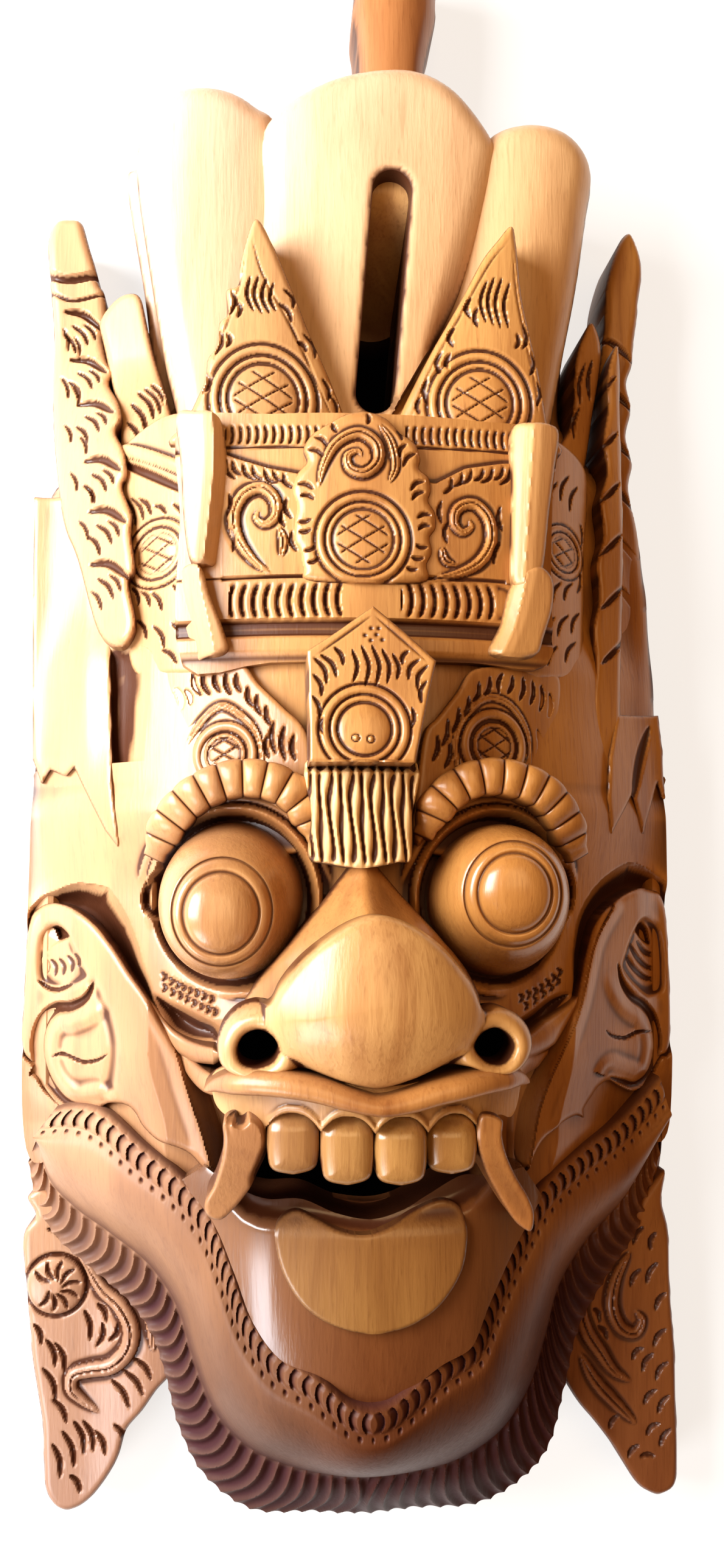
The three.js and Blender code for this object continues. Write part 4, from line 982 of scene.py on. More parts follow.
def face_ground(x, y):
    """The block's front, a little proud, kept low where the ear leaves and the mouth overlie it."""
    low = np.minimum(outside(x, y, mouth_side_left), outside(x, y, mouth_side_right))
    level = head(x, y) + 1.6 * ease((-18 - y) / 10)
    level = level - (level - 60) * ease((-88 - y) / 18) * (level > 60) * ease((np.abs(x + 1) - 30) / 10)
    return level - 12 * ease(-low / 6)


def trough(slab, leaf, line, widths, depth):
    """A valley outside a leaf's edge, deepest against the leaf and darkened with painted shade; widths are
    (length along the edge, width) pairs."""
    line = curve(line)
    out = outside(slab.x, slab.y, leaf)
    _, along, _ = reach(slab.x, slab.y, line)
    wide = np.interp(along, *zip(*widths))
    t = np.clip(1 - np.maximum(out, 0) / np.maximum(wide, 0.01), 0, 1)
    slab.z -= depth * np.clip(wide / 9, 0, 1) ** 0.6 * ease(t * 0.9 + 0.1 * (t > 0)) ** 0.8
    # painted shade in the valley against the leaf
    slab.soak_and_shade += 0.75 * np.clip(wide / 7, 0, 1) * ease(t * 1.3) * (out > -2)


ear_leaf_left = curve([(-107.6, -63), (-103.8, -57), (-98, -55.6), (-91, -57.2), (-84.2, -61.4),
    (-77.3, -68.6), (-71.9, -75.8), (-67.9, -80.6), (-65, -84.6), (-60.6, -92), (-56, -98.8),
    (-50, -104.6), (-46, -110), (-43.4, -118), (-42.6, -126), (-43, -135), (-45, -137.4), (-48.4, -133),
    (-53, -128.4), (-58, -126.2), (-62.6, -125), (-67, -121.8), (-69.6, -118), (-72.6, -116.2),
    (-78, -116.2), (-82.4, -119.4), (-88, -121.6), (-94.8, -120.6), (-101, -115.6), (-104.8, -108),
    (-108.8, -102), (-108.6, -84)], closed=True, per=6)
ear_leaf_right = curve([(106, -66), (104, -54), (99.7, -51.6), (90.6, -51.2), (80.5, -55.4),
    (73.2, -61.7), (69.2, -71.1), (66.3, -81.2), (64.6, -85.4), (60.3, -92.2), (54.9, -102), (50.5, -109),
    (46.8, -116), (45, -124), (45.4, -131), (48, -137), (50.4, -131), (53.6, -126.4), (59.9, -122),
    (65.2, -120.8), (68.6, -122), (68.8, -119.4), (71.8, -116), (75, -113.2), (79.4, -112.2),
    (85.4, -115.6), (90.8, -117.4), (97.6, -115), (102, -108), (106.4, -102)], closed=True, per=6)

halves = []
for side, loop in (("left", [(1, -12), (-40, -12), (-80, -12), (-104, -12), (-106.8, -20), (-107.6, -54),
        (-108.6, -98), (-108.2, -126), (-104.6, -139), (-94, -136), (-80, -138), (-68, -146), (-58, -153),
        (-47, -160), (-42, -152), (-39.6, -138), (-38.6, -126), (-38, -112), (-20, -108), (1, -108),
        (1, -60)]), ("right", [(-1, -12), (-1, -60), (-1, -108), (18, -108), (34, -112), (35, -126),
        (36, -136), (40, -150), (46, -158), (56, -152), (68, -146), (82, -140), (96, -134), (103, -136),
        (106.2, -126), (106.6, -98), (105.7, -54), (105, -20), (102, -12), (60, -12)])):
    halves.append((side, Carving(curve(loop, closed=True, per=4), 0.5, face_ground)))

for side, half in halves:
    sign = -1 if side == "left" else 1
    cx = -40.6 if side == "left" else 37.8
    ring = np.hypot(half.x - cx, (half.y + 54) / 1.06)
    inner = ease((half.x - cx) * -sign / 12 + 0.5)
    half.z -= 7 * ease((25.2 - ring) / 3.0)
    lid = ease((half.y + 64) / 10)
    rolled = np.sqrt(1 - np.clip(np.abs(ring - 24.6) / 2.1, 0, 1) ** 2)
    half.z += (3.4 + 1.5 * inner) * rolled * np.maximum(lid, 0.55 * inner)
    half.z += 2.4 * np.sqrt(1 - np.clip(np.abs(ring - 28.0) / 1.6, 0, 1) ** 2) * ease((half.y + 50) / 10)
    # painted shade in the socket round each eye, in the lid's groove and in the pocket
    half.soak_and_shade += 0.95 * ease((25.2 - ring) / 1.6)
    half.soak_and_shade += 0.3 * np.clip(1 - np.abs(ring - 26.4) / 0.9, 0, 1) * lid
    pocket = outside(half.x, half.y, curve([(-68.8, -52), (-65.4, -46), (-60.8, -45.4), (-59.8, -52),
        (-61.4, -59), (-65, -60.4), (-68.2, -57.4)] if side == "left" else [(66.6, -51), (64.4, -45),
        (60, -42), (57.6, -48), (58.4, -58), (61.4, -61.6), (65.4, -57.6)], closed=True))
    half.z -= 7 * ease(-pocket / 2.4)
    half.soak_and_shade += 0.9 * ease(-pocket / 1.4)
    # painted shade: the right side, away from the window, is darkened
    half.soak_and_shade += 0.10 * ease((half.x - 20) / 50)
    # painted shade on the cheeks between nose and ears
    half.soak_and_shade += 0.22 * ease((-66 - half.y) / 12) * ease((66 - np.abs(half.x)) / 16)

(_, left_half), (_, right_half) = halves
trough(left_half, ear_leaf_left, [(-107, -62), (-103.8, -57), (-98, -55.6), (-91, -57.2), (-84.2, -61.4),
    (-77.3, -68.6), (-71.9, -75.8), (-67.9, -80.6), (-65, -84.6), (-60, -92)], ((0, 0.5), (6, 2), (12, 4),
    (18, 8), (25, 11.5), (35, 9), (44, 6), (52, 3.4), (58, 1), (70, 0)), 11)
trough(right_half, ear_leaf_right, [(104, -54), (99.7, -51.6), (90.6, -51.2), (80.5, -55.4),
    (73.2, -61.7), (69.2, -71.1), (66.3, -81.2), (64.6, -85.4), (60, -92)], ((0, 3), (6, 6), (14, 9),
    (25, 8), (36, 6), (46, 4.4), (54, 2), (66, 0)), 9)
# valleys between the eyes and the nostrils, darkened with painted shade
left_half.sink(curve([(-64.6, -82), (-57.5, -83.6), (-50, -86.4), (-43.6, -90), (-42, -97), (-50.8, -97.6),
                       (-58, -94.4), (-62, -89)], closed=True), 9, 5.5)
left_half.soak_and_shade += 0.5 * ease(-outside(left_half.x, left_half.y, [(-64, -83), (-43, -90), (-42, -96),
    (-58, -94)]) / 4)
right_half.sink(curve([(64, -83), (57, -82.4), (49, -86), (41.6, -90.6), (40, -98), (46, -99), (54, -96),
                        (60, -90)], closed=True), 7, 5.5)
right_half.soak_and_shade += 0.5 * ease(-outside(right_half.x, right_half.y,
    [(63, -84), (42, -90), (41, -96), (54, -95)]) / 4)
# two rows of small curved cuts under each eye
for half, rows in ((left_half, ([(-62, -76.6), (-58.3, -78.7), (-55.2, -80), (-51.6, -81.2),
        (-47.9, -82.3), (-44, -83.6)], [(-62, -79.8), (-57.7, -81.8), (-54, -83.2), (-50.3, -84.9),
        (-46.7, -86.1), (-43.4, -87.3)])), (right_half, ([(43.6, -83.6), (48, -82.4), (52, -80.8),
        (56, -78.6), (60, -76)], [(45, -86.4), (50.4, -84), (55.6, -81), (60, -78)]))):
    for line in rows:
        line = curve(line, per=12)
        for k in range(3, len(line) - 2, 7):
            x, y = line[k]
            half.gouge(curve([(x - 0.7, y + 1.5), (x + 1.0, y + 0.2), (x - 0.5, y - 1.4)], per=5), 1.5, 1.1)
for side, half in halves:
    half.build(f"face_{side}", lambda x, y: np.minimum(head(x, y) - 9, 52), face_wood, foot=0.6, wide=3.2)


# The folds of skin at the mouth's corners are lapped over one another.

def rib(name, line, half, rise, drop, finish, skew=0.0):
    """A half-round rib along a line of points: rise * sqrt(1 - t * t) across, narrowing at its
    ends; skew leans its crown to one side."""
    line = curve(line, per=14)
    step = np.diff(line, axis=0)
    run = np.concatenate([[0], np.cumsum(np.hypot(step[:, 0], step[:, 1]))])
    s = np.linspace(0, 1, 220)
    at = np.stack([np.interp(s * run[-1], run, line[:, k]) for k in range(3)], 1)
    lead = np.gradient(at, axis=0)
    lead /= np.hypot(lead[:, 0], lead[:, 1])[:, None]
    t = np.sin(np.linspace(-np.pi / 2, np.pi / 2, 21))
    thin = np.clip(np.minimum(s, 1 - s) * 12, 0.02, 1) ** 0.5
    half = np.interp(s, np.linspace(0, 1, len(half)), half)
    x = at[:, 0, None] - lead[:, 1, None] * t * (half * thin)[:, None]
    y = at[:, 1, None] + lead[:, 0, None] * t * (half * thin)[:, None]
    z = at[:, 2, None] + rise * thin[:, None] * np.sqrt(1 - t ** 2) + skew * t
    # painted shade along the rib's edges
    return strip(name, np.stack([x, y, z], -1), drop, 0.3 * np.abs(t) ** 5 + 0 * x, finish)


rib("fold_left_upper", [(-65.6, -84, 60), (-61.2, -91.6, 62), (-57, -95.8, 65), (-50.8, -98.4, 71),
    (-43, -98.6, 80)], (0.8, 1.8, 2.6, 3.0, 2.6), 3.0, 12, face_wood, skew=2.0)
rib("fold_left_lower", [(-57, -98.4, 60), (-53, -102.6, 66), (-47.6, -106, 76), (-41, -106.4, 90)],
    (0.8, 2.4, 3.2, 2.6), 3.4, 14, face_wood, skew=2.0)
rib("fold_right_upper", [(66, -84, 60), (60, -90, 64), (53.4, -94.6, 70), (46, -97.6, 76), (40, -99, 84)],
    (0.8, 2.6, 4.2, 3.6, 2.4), 4.0, 12, face_wood, skew=-1.6)
rib("fold_right_lower", [(56, -100, 62), (50, -102, 70), (44, -102.4, 80), (39, -104, 90)],
    (0.8, 2.6, 3.2, 2.6), 3.2, 14, face_wood, skew=-1.6)


# ---- Ears ----------------------------------------------------------------------------------------
# Each ear is a long leaf laid from the temple to the mouth's corner. Its upper end is hollowed
# and gouged, a drop hangs in a deep groove behind it, and its front edge is cut back steeply.

def leaf_level(x, y):
    """The ear leaf's height: over the block's front, more so inward, and cut off level."""
    return np.minimum(head(x, y) + 1.6 + 5.2 * ease((104 - np.abs(x)) / 14), 66.5)


ear_left = Carving(ear_leaf_left, 0.42, leaf_level)
ear_left.shoulder(2.6, 2.2)
crest = curve([(-70, -74), (-65.9, -81.3), (-58.4, -94.4), (-53.4, -109.6), (-48.6, -123.5), (-45, -136)])
far, along, side = reach(ear_left.x, ear_left.y, crest)
facet = far * (side > 0) * ease(along / 14)
ear_left.z -= 1.7 * np.clip(facet - 0.4, 0, 9)
# painted shade on the steep facet turned away from the light
ear_left.soak_and_shade += 0.5 * ease(facet / 1.6)
ear_left.z += 1.5 * ease(1 - far / 5) * (side < 0) * ease(along / 20)
# the lining behind the rim is hollowed a little and the hole drilled in it
lining = outside(ear_left.x, ear_left.y, curve([(-104.6, -68), (-101.6, -61.8), (-96.6, -60.6),
    (-92, -64), (-88.4, -70.6), (-84.6, -77.6), (-88, -81.6), (-96, -84.4), (-104, -81)], closed=True))
ear_left.z -= 2.2 * ease(-lining / 3)
hole = outside(ear_left.x, ear_left.y, curve([(-103, -66.6), (-99.8, -62.6), (-95.6, -62.4),
    (-91.8, -65.6), (-94.4, -67.8), (-98.4, -69.2), (-101.6, -71.4)], closed=True))
ear_left.z -= 6 * ease(-hole / 2.4)
# painted shade in the drilled hole
ear_left.soak_and_shade += 0.8 * ease(-hole / 2.0)
tuft(ear_left, [((-103, -73.4), (-101.4, -78.6), 1.4), ((-99.8, -73.6), (-98, -79), 1.4),
    ((-96.6, -73), (-94.8, -78.6), 1.4), ((-93.4, -71.8), (-91.6, -77.4), 1.4),
    ((-90.4, -71), (-89, -75.4), 1.1)], 2.2, 0.9)
ear_left.gouge(curve([(-104, -80.4), (-100.6, -82.6), (-96.6, -83.2), (-90.8, -80.8)]), 1.7, 1.5)
drop_left = [(-83.4, -79.6), (-86, -84.6), (-91, -87.6), (-97, -89), (-101.4, -93), (-103.4, -99),
    (-103, -106), (-100, -112.6), (-94.6, -117.6), (-88, -119.4), (-82, -118)]
ear_left.gouge(curve(drop_left), 5.2, 4.6, floor=1.5)
far, along, side = reach(ear_left.x, ear_left.y, curve(drop_left))
ear_left.z += 1.6 * ease(1 - np.abs(far - 5) / 4) * (side > 0) * ease(along / 10)
ear_left.gouge(curve([(-98.6, -104.4), (-94, -102.8), (-87, -104.4), (-82, -103.4), (-78.4, -101)]), 1.5,
    1.4)
far, _, _ = reach(ear_left.x, ear_left.y, curve([(-84, -80), (-79.4, -88), (-76.6, -98), (-77.4, -108),
                                                  (-79.6, -115)]))
ear_left.z -= 0.9 * ease(1 - far / 3)
ear_left.build("ear_left", lambda x, y: np.minimum(head(x, y) - 10, 46), face_wood, foot=0.75, wide=3.0)

ear_right = Carving(ear_leaf_right, 0.42, leaf_level)
ear_right.shoulder(2.6, 2.2)
crest = curve([(79.9, -56.8), (71.9, -68.1), (66.6, -84.8), (60.8, -97.2), (55.6, -107.8), (51.6, -118.6),
    (49, -133)])
far, along, side = reach(ear_right.x, ear_right.y, crest)
facet = far * (side < 0) * ease(along / 20)
ear_right.z -= 1.5 * np.clip(facet - 0.4, 0, 9)
# painted shade on the steep facet turned away from the light
ear_right.soak_and_shade += 0.25 * ease(facet / 1.6)
ear_right.z += 1.3 * ease(1 - far / 5) * (side > 0)
lining = outside(ear_right.x, ear_right.y, curve([(104, -66), (97.6, -60), (92, -60.4), (88, -65),
    (85, -71), (83.6, -77), (90, -84), (98, -88), (105, -84)], closed=True))
ear_right.z -= 3.2 * ease(-lining / 3)
hole = outside(ear_right.x, ear_right.y, curve([(90.4, -64.4), (93.6, -61.6), (98, -64), (99.4, -70),
    (95, -69)], closed=True))
ear_right.z -= 5 * ease(-hole / 2.2)
# painted shade in the drilled hole
ear_right.soak_and_shade += 0.8 * ease(-hole / 1.8)
for line in ([(88, -68.6), (92, -73.6), (97, -77), (102, -78.4)], [(86, -72), (90.4, -77), (96, -80.6),
        (102, -82)], [(91.6, -68), (96, -72), (102, -74)]):
    ear_right.gouge(curve(line), 2.4, 1.6)
drop_right = [(82, -74.6), (84.2, -80.9), (88.6, -86), (94.6, -89.6), (99, -94.3), (100.9, -101.5),
    (100, -108.4), (96.5, -113.4), (90.6, -115.2), (85.2, -113.4), (79, -110.8)]
ear_right.gouge(curve(drop_right), 4.2, 3.8, floor=1.5)
far, along, side = reach(ear_right.x, ear_right.y, curve(drop_right))
ear_right.z += 1.4 * ease(1 - np.abs(far - 5) / 4) * (side < 0) * ease(along / 10)
ear_right.gouge(curve([(76.6, -95.4), (79.7, -97.7), (85.4, -98.9), (91.7, -97.6), (99, -98.6)]), 1.5, 1.4)
# painted shade: the right side, away from the window, is darkened
ear_right.soak_and_shade += 0.08
ear_right.build("ear_right", lambda x, y: np.minimum(head(x, y) - 10, 46), face_wood, foot=0.8, wide=3.0)


# ---- Eyes ----------------------------------------------------------------------------------------
# Each eye is turned: a bulging ball, a ring scored round it, and a raised domed pupil. The pair are
# a little taller than they are wide.

def turned(name, profile, centre, squash, finish, lean, slope, stain_and_shade_at):
    """A turned piece: a profile of radius and height spun about an upright axis, squash times as
    tall. lean is how far its axis moves per 20 mm of height, slope how its level tips; both poles
    are closed."""
    profile = np.array(profile, float)
    turn = np.linspace(0, 2 * np.pi, 144, endpoint=False)[:, None]
    ring, z = profile[None, 1:-1, 0], profile[None, 1:-1, 1]
    dx, dy = ring * np.cos(turn), ring * np.sin(turn) * squash
    shift = (z - 78) / 20
    grid = np.stack([centre[0] + dx + shift * lean[0], centre[1] + dy + shift * lean[1],
                     z + slope[0] * dx + slope[1] * dy], -1)
    rows, cols = grid.shape[:2]
    number = np.arange(rows * cols).reshape(rows, cols)
    after = np.roll(number, -1, 0)
    quads = np.stack([number[:, :-1], number[:, 1:], after[:, 1:], after[:, :-1]], -1).reshape(-1, 4)
    top, low = rows * cols, rows * cols + 1
    thirds = np.concatenate([np.stack([np.full(rows, top), number[:, 0], after[:, 0]], 1),
                             np.stack([np.full(rows, low), after[:, -1], number[:, -1]], 1)])
    tip, foot = (profile[[0, -1], 1] - 78) / 20
    poles = [[centre[0] + lean[0] * tip, centre[1] + lean[1] * tip, profile[0, 1]],
             [centre[0] + lean[0] * foot, centre[1] + lean[1] * foot, profile[-1, 1]]]
    points = np.concatenate([grid.reshape(-1, 3), poles])
    marks = np.zeros(cols)
    # darkened rings: stain and painted shade
    for radius, width, amount in stain_and_shade_at:
        marks = np.maximum(marks, amount * np.clip(1 - np.abs(profile[1:-1, 0] - radius) / width, 0, 1))
    marks = np.concatenate([np.tile(marks, rows), [0, 1]])
    return fit(name, points, quads, thirds, marks, finish, 60)


eye_profile = curve([(0, 101.2), (2, 101.1), (5, 100.6), (8, 99.3), (9.6, 97.8), (10.1, 96.6),
    (10.5, 96.2), (11.2, 96.7), (12.4, 96.2), (13.3, 94.9), (13.7, 94.0), (14.2, 94.3), (15.2, 93.2),
    (17, 90.2), (18.8, 86), (20.2, 80.6), (20.6, 75), (20, 68), (18, 64), (0, 63)], per=5)
eye_profile[:, 0] = np.maximum(eye_profile[:, 0], 0)
eye_wood = wood("eye_wood", wood_tones, dark_stain_and_shade, rough=0.27, coat=0.6, grain=0.8)
# stain and painted shade in the scored rings, painted shade where the ball meets its socket
eye_marks = ((10.4, 0.5, 0.8), (13.8, 0.55, 0.7), (20.4, 1.6, 0.35))
turned("eye_left", eye_profile, (-40.8, -54.2), 1.08, eye_wood, (-2.4, -3.4), (-0.07, -0.03),
    stain_and_shade_at=eye_marks)
turned("eye_right", eye_profile, (37.7, -54), 1.08, eye_wood, (1.2, 2.2), (0.03, 0.05), stain_and_shade_at=eye_marks)


# ---- Nose ----------------------------------------------------------------------------------------
# A roof-shaped bridge comes from under the hair to a broad smooth pad, which curls into a rolled
# nostril at each side.

bridge = Carving(curve([(-3.6, -41), (-9, -47), (-15, -55), (-24, -66), (-34, -78), (-36, -86),
    (-20, -92), (0, -94), (20, -92), (31, -86), (28, -76), (18, -64), (8, -53), (2, -46)], closed=True,
    per=5), 0.6, lambda x, y: 93 + 22 * ease((-42 - y) / 30) - np.sqrt((x + 3.2) ** 2 + 3) * 0.95 + 1.6)
bridge.soak_and_shade += 0.30
bridge.shoulder(2, 1.6)
bridge.build("nose_bridge", 66, face_wood, foot=0.8)

nostril_holes = [curve(loop, closed=True, per=8) for loop in ([(-38, -92.4), (-36.4, -88.8),
    (-32.6, -87.2), (-28.8, -88.8), (-27.4, -92), (-28.8, -95.4), (-33, -97), (-36.8, -95.8)],
    [(24.4, -92.6), (26, -89), (30, -87.4), (33.8, -89.4), (35.2, -92.8), (32.6, -96.6), (28, -96.4)])]
nose_loop = curve([(-2, -57.4), (-8, -59), (-14.6, -63), (-21.4, -68.6), (-26.6, -75), (-29.6, -80.4),
    (-33.6, -80.2), (-38.6, -82), (-42.2, -86), (-43.4, -91), (-42.4, -96), (-39, -98.6), (-33.6, -99.6),
    (-27.6, -98.4), (-20, -97.4), (-11, -100.2), (-2, -102), (7, -100), (15.4, -97.2), (22, -97),
    (28, -99), (34, -99.4), (38.4, -97), (40.6, -92.6), (39.8, -88), (36.6, -84.2), (31.6, -82.2),
    (26.6, -82.6), (23, -75), (17.6, -68), (11, -62.4), (4.6, -58.8)], closed=True, per=8)
nose = Carving(nose_loop, 0.42, lambda x, y: 112, nostril_holes)
pad_loop = curve([(-2, -57), (-14.6, -62.6), (-27, -75), (-31, -84), (-27, -92), (-19.6, -96.6),
    (-11, -100.2), (-2, -102), (7, -100), (15, -96.6), (22.6, -92.4), (27, -84), (23, -74.6), (11, -62)],
    closed=True)
pad_deep = -outside(nose.x, nose.y, pad_loop)
pad_z = (123.5 - 0.011 * (nose.x + 2) ** 2 - 0.006 * (nose.y + 78) ** 2 - 2 * ease((-84 - nose.y) / 16)
         + 3.4 * (1 - (1 - np.clip(pad_deep / 30, 0, 1)) ** 2)
         - 2.6 * (1 - np.sqrt(1 - (1 - np.clip(pad_deep / 3, 0, 1)) ** 2))
         + 2.2 * np.clip(pad_deep, -9, 0))
wing_z = np.full(nose.x.shape, 80.0)
for hole, cx, sign in ((nostril_holes[0], -33, -1), (nostril_holes[1], 30, 1)):
    far = outside(nose.x, nose.y, hole)
    roll = 112.6 + 0.22 * (nose.x - cx) * -sign - 4.6 * (np.clip(far - 2.4, -2.4, 9) / 4.2) ** 2
    wing_z = np.maximum(wing_z, roll)
blend = np.clip(0.5 + 0.5 * (pad_z - wing_z) / 3, 0, 1)
nose.z = wing_z * (1 - blend) + pad_z * blend + 3 * blend * (1 - blend)
nose.shoulder(1.2, 0.9)
# painted shade in the crease between the pad and each nostril wing
nose.soak_and_shade += 0.2 * np.clip(1 - np.abs(pad_z - wing_z) / 2.2, 0, 1) * (nose.y > -92)
nose.build("nose_pad", 96, wood("nose_wood", [(0.2, (0.56, 0.315, 0.135)), (0.5, (0.60, 0.345, 0.155))],
    dark_stain_and_shade, rough=0.34, coat=0.35), foot=0.9, wide=1.5)


# ---- Upper jaw -----------------------------------------------------------------------------------
# The upper lip rolls out over a smooth gum, from which four rounded teeth and two curved tusks
# stand over the open mouth.

rib("upper_lip", [(-47, -104.6, 98), (-42.6, -102.2, 104), (-35, -100.8, 110), (-26, -100.8, 113.5),
    (-17, -102.2, 115), (-8, -104.8, 116), (-1, -106.2, 116.4), (6, -105.2, 116), (14, -103.2, 115),
    (22, -101.8, 113.5), (30, -101, 110), (37, -101.6, 105), (42, -103.6, 98)],
    (2.2, 3.2, 3.4, 3.2, 2.6, 3.2, 3.4, 3.2, 2.2), 3.4, 16, face_wood, skew=-0.6)

tooth_left, tooth_width = -30.2, 14.2


def gum_level(x, y):
    """The gum bows forward in the middle and leans in towards the teeth."""
    return 112.5 - 0.0105 * (x + 2) ** 2 + 0.16 * (y + 104)


gum = Carving(curve([(-44, -100), (-30, -98), (0, -102), (26, -98), (39.6, -100), (40, -108),
    (37.6, -113.6), (33, -112.4), (27.2, -115.4), (20, -115), (0, -115), (-20, -115), (-30.4, -115.6),
    (-36, -112), (-41, -112), (-44.6, -108)], closed=True, per=5), 0.42, gum_level)
slot_x = np.clip((gum.x - tooth_left) / tooth_width, 0, 3.999)
arch_y = -109.2 - 4.6 * np.abs((slot_x % 1) * 2 - 1) ** 2.4 - 0.3 * slot_x
in_row = ease((gum.x - tooth_left + 0.5) / 1) * ease((27 - gum.x) / 1)
below = ease((arch_y - gum.y) / 0.9) * in_row
gum.z -= 7 * below
# painted shade in the gaps between the teeth
gum.soak_and_shade += 0.9 * below
gum.z += 0.8 * np.clip(1 - np.abs(gum.y - arch_y - 1.0) / 1.2, 0, 1) ** 0.5 * in_row
gum.build("gum", 92, wood("gum_wood", [
    (0.2, (0.50, 0.27, 0.11)), (0.5, (0.54, 0.30, 0.13))], dark_stain_and_shade), foot=0.8, wide=1.5)

tooth_wood = wood("tooth_wood", [(0.2, (0.40, 0.215, 0.080)), (0.5, (0.44, 0.24, 0.09))], dark_stain_and_shade,
    rough=0.28, coat=0.6)
for k in range(4):
    x0 = tooth_left + tooth_width * k
    low = (-126.2, -128.4, -128.8, -127.0)[k]
    high = (-108.4, -109.2, -110.2, -110.8)[k]
    mid, half = x0 + tooth_width / 2, tooth_width / 2 - 0.25
    outline = curve([(mid - half * 0.72, high - 1.2), (mid, high), (mid + half * 0.72, high - 1.2),
        (mid + half, high - 5), (mid + half, low + 5), (mid + half * 0.78, low + 1.2), (mid, low),
        (mid - half * 0.78, low + 1.2), (mid - half, low + 5), (mid - half, high - 5)], closed=True)
    tooth = Carving(outline, 0.4, lambda x, y: 108.6 - 0.009 * (mid + 2) ** 2 + 0.04 * (y + 118))
    deep = np.clip(-tooth.edge / 6.6, 0, 1)
    tooth.z += 3.4 * np.sqrt(1 - (1 - deep) ** 2.2) - 2.6
    tooth.z -= 1.6 * ease((tooth.y - high + 6.5) / 5)
    # painted shade on the teeth's tops under the gum
    tooth.soak_and_shade += 0.5 * ease((tooth.y - high + 5.6) / 5)
    tooth.build(f"tooth_{k + 1}", 92, tooth_wood, foot=0.85, wide=1.0)

tusk_left = Carving(curve([(-41.6, -112), (-38.8, -110), (-37.2, -111.4), (-35, -109.2), (-30.6, -111.6),
    (-29, -117), (-30.4, -122.6), (-33.6, -129.4), (-38.4, -136.4), (-42.4, -140), (-46, -138.8),
    (-46.6, -134.6), (-44.2, -129.6), (-42.2, -122.6), (-41.6, -117)], closed=True, per=6), 0.4,
    lambda x, y: 105 - 12 * ease((-112 - y) / 34))
inward = ease((tusk_left.x + 38) / 4 - (tusk_left.y + 122) * -0.09)
tusk_left.z -= 6 * ease((tusk_left.edge + 2.6) / 2.6) * inward
tusk_left.shoulder(1.3, 1.0)
tusk_left.build("tusk_left", lambda x, y: 82 - 8 * ease((-112 - y) / 34), face_wood, foot=0.8, wide=1.5)
tusk_right = Carving(curve([(26.8, -112), (29, -110.8), (33, -112.6), (33, -116.8), (34.4, -122),
    (37.6, -128.6), (42, -135.6), (44, -141), (43, -145.4), (38.4, -142.2), (33, -134), (29, -126.6),
    (26.4, -118.6)], closed=True, per=6), 0.4, lambda x, y: 105 - 12 * ease((-112 - y) / 34))
tusk_right.shoulder(1.3, 1.0)
# painted shade: the right side, away from the window, is darkened
tusk_right.soak_and_shade += 0.25
tusk_right.build("tusk_right", lambda x, y: 82 - 8 * ease((-112 - y) / 34), face_wood, foot=0.15, wide=1.5)


# ---- Lower jaw -----------------------------------------------------------------------------------
# The jaw is one thick roll that runs from ear to ear under the mouth. A fine row of crescents with
# a line of punched dots is cut along its inner edge, a broad frill of gouged scales over its outer.

inner_rope = [(-99, -123.5, 39), (-89, -121.4, 46), (-80, -123, 52), (-68, -131, 60), (-57, -138, 66),
    (-47.6, -147.6, 70.5), (-41.4, -160.6, 74), (-36, -173.6, 76.5), (-27.6, -184.2, 79.5),
    (-16, -190, 82.5), (-6, -197.4, 84), (3, -198.4, 84), (11.4, -194.2, 82), (20.8, -187.6, 79),
    (30.6, -182.8, 75.5), (36.6, -170.6, 73), (44.6, -157.2, 68.5), (54.6, -144.2, 63.5),
    (68, -136.4, 55), (84, -129.4, 45), (100.4, -117, 38)]
outer_rope = [(-106.8, -134, 28), (-102, -148.6, 30), (-92.6, -157.4, 33), (-80.6, -164.4, 38),
    (-67.6, -173, 43), (-58.6, -185, 46), (-53.6, -199.4, 48), (-46.4, -214.4, 50), (-35.8, -224.4, 52),
    (-22, -229.8, 54), (-8, -232.4, 55), (4, -233, 55), (17, -232.4, 54), (31.4, -230.4, 51),
    (45.4, -223.6, 48), (55.4, -212, 45), (61, -197.6, 43), (65.6, -183, 41), (75.6, -170.4, 37),
    (91, -157, 32), (104.6, -134, 29)]
chin_edge = [(-106.9, -139.1, 24), (-103.5, -151.7, 26), (-96.5, -161.8, 29), (-85.8, -169.8, 33),
    (-73.8, -178.7, 36), (-65.3, -188.7, 39), (-60.4, -201.5, 40), (-56.1, -216.9, 40), (-48, -232, 39),
    (-33.4, -244, 36), (-14.6, -246.9, 33), (1.8, -249.1, 31), (18.2, -248.1, 31), (37.7, -246.7, 33),
    (51.4, -238.6, 36), (60.5, -227.4, 38), (66, -210.4, 37), (71.6, -192.7, 35), (83, -176.3, 32),
    (94.4, -164, 27), (103.4, -140.1, 25)]


def paced(line):
    """Distance along a line from its nearer end."""
    step = np.diff(line, axis=0)
    run = np.concatenate([[0], np.cumsum(np.hypot(step[:, 0], step[:, 1]))])
    return np.minimum(run, run[-1] - run)[:, None]


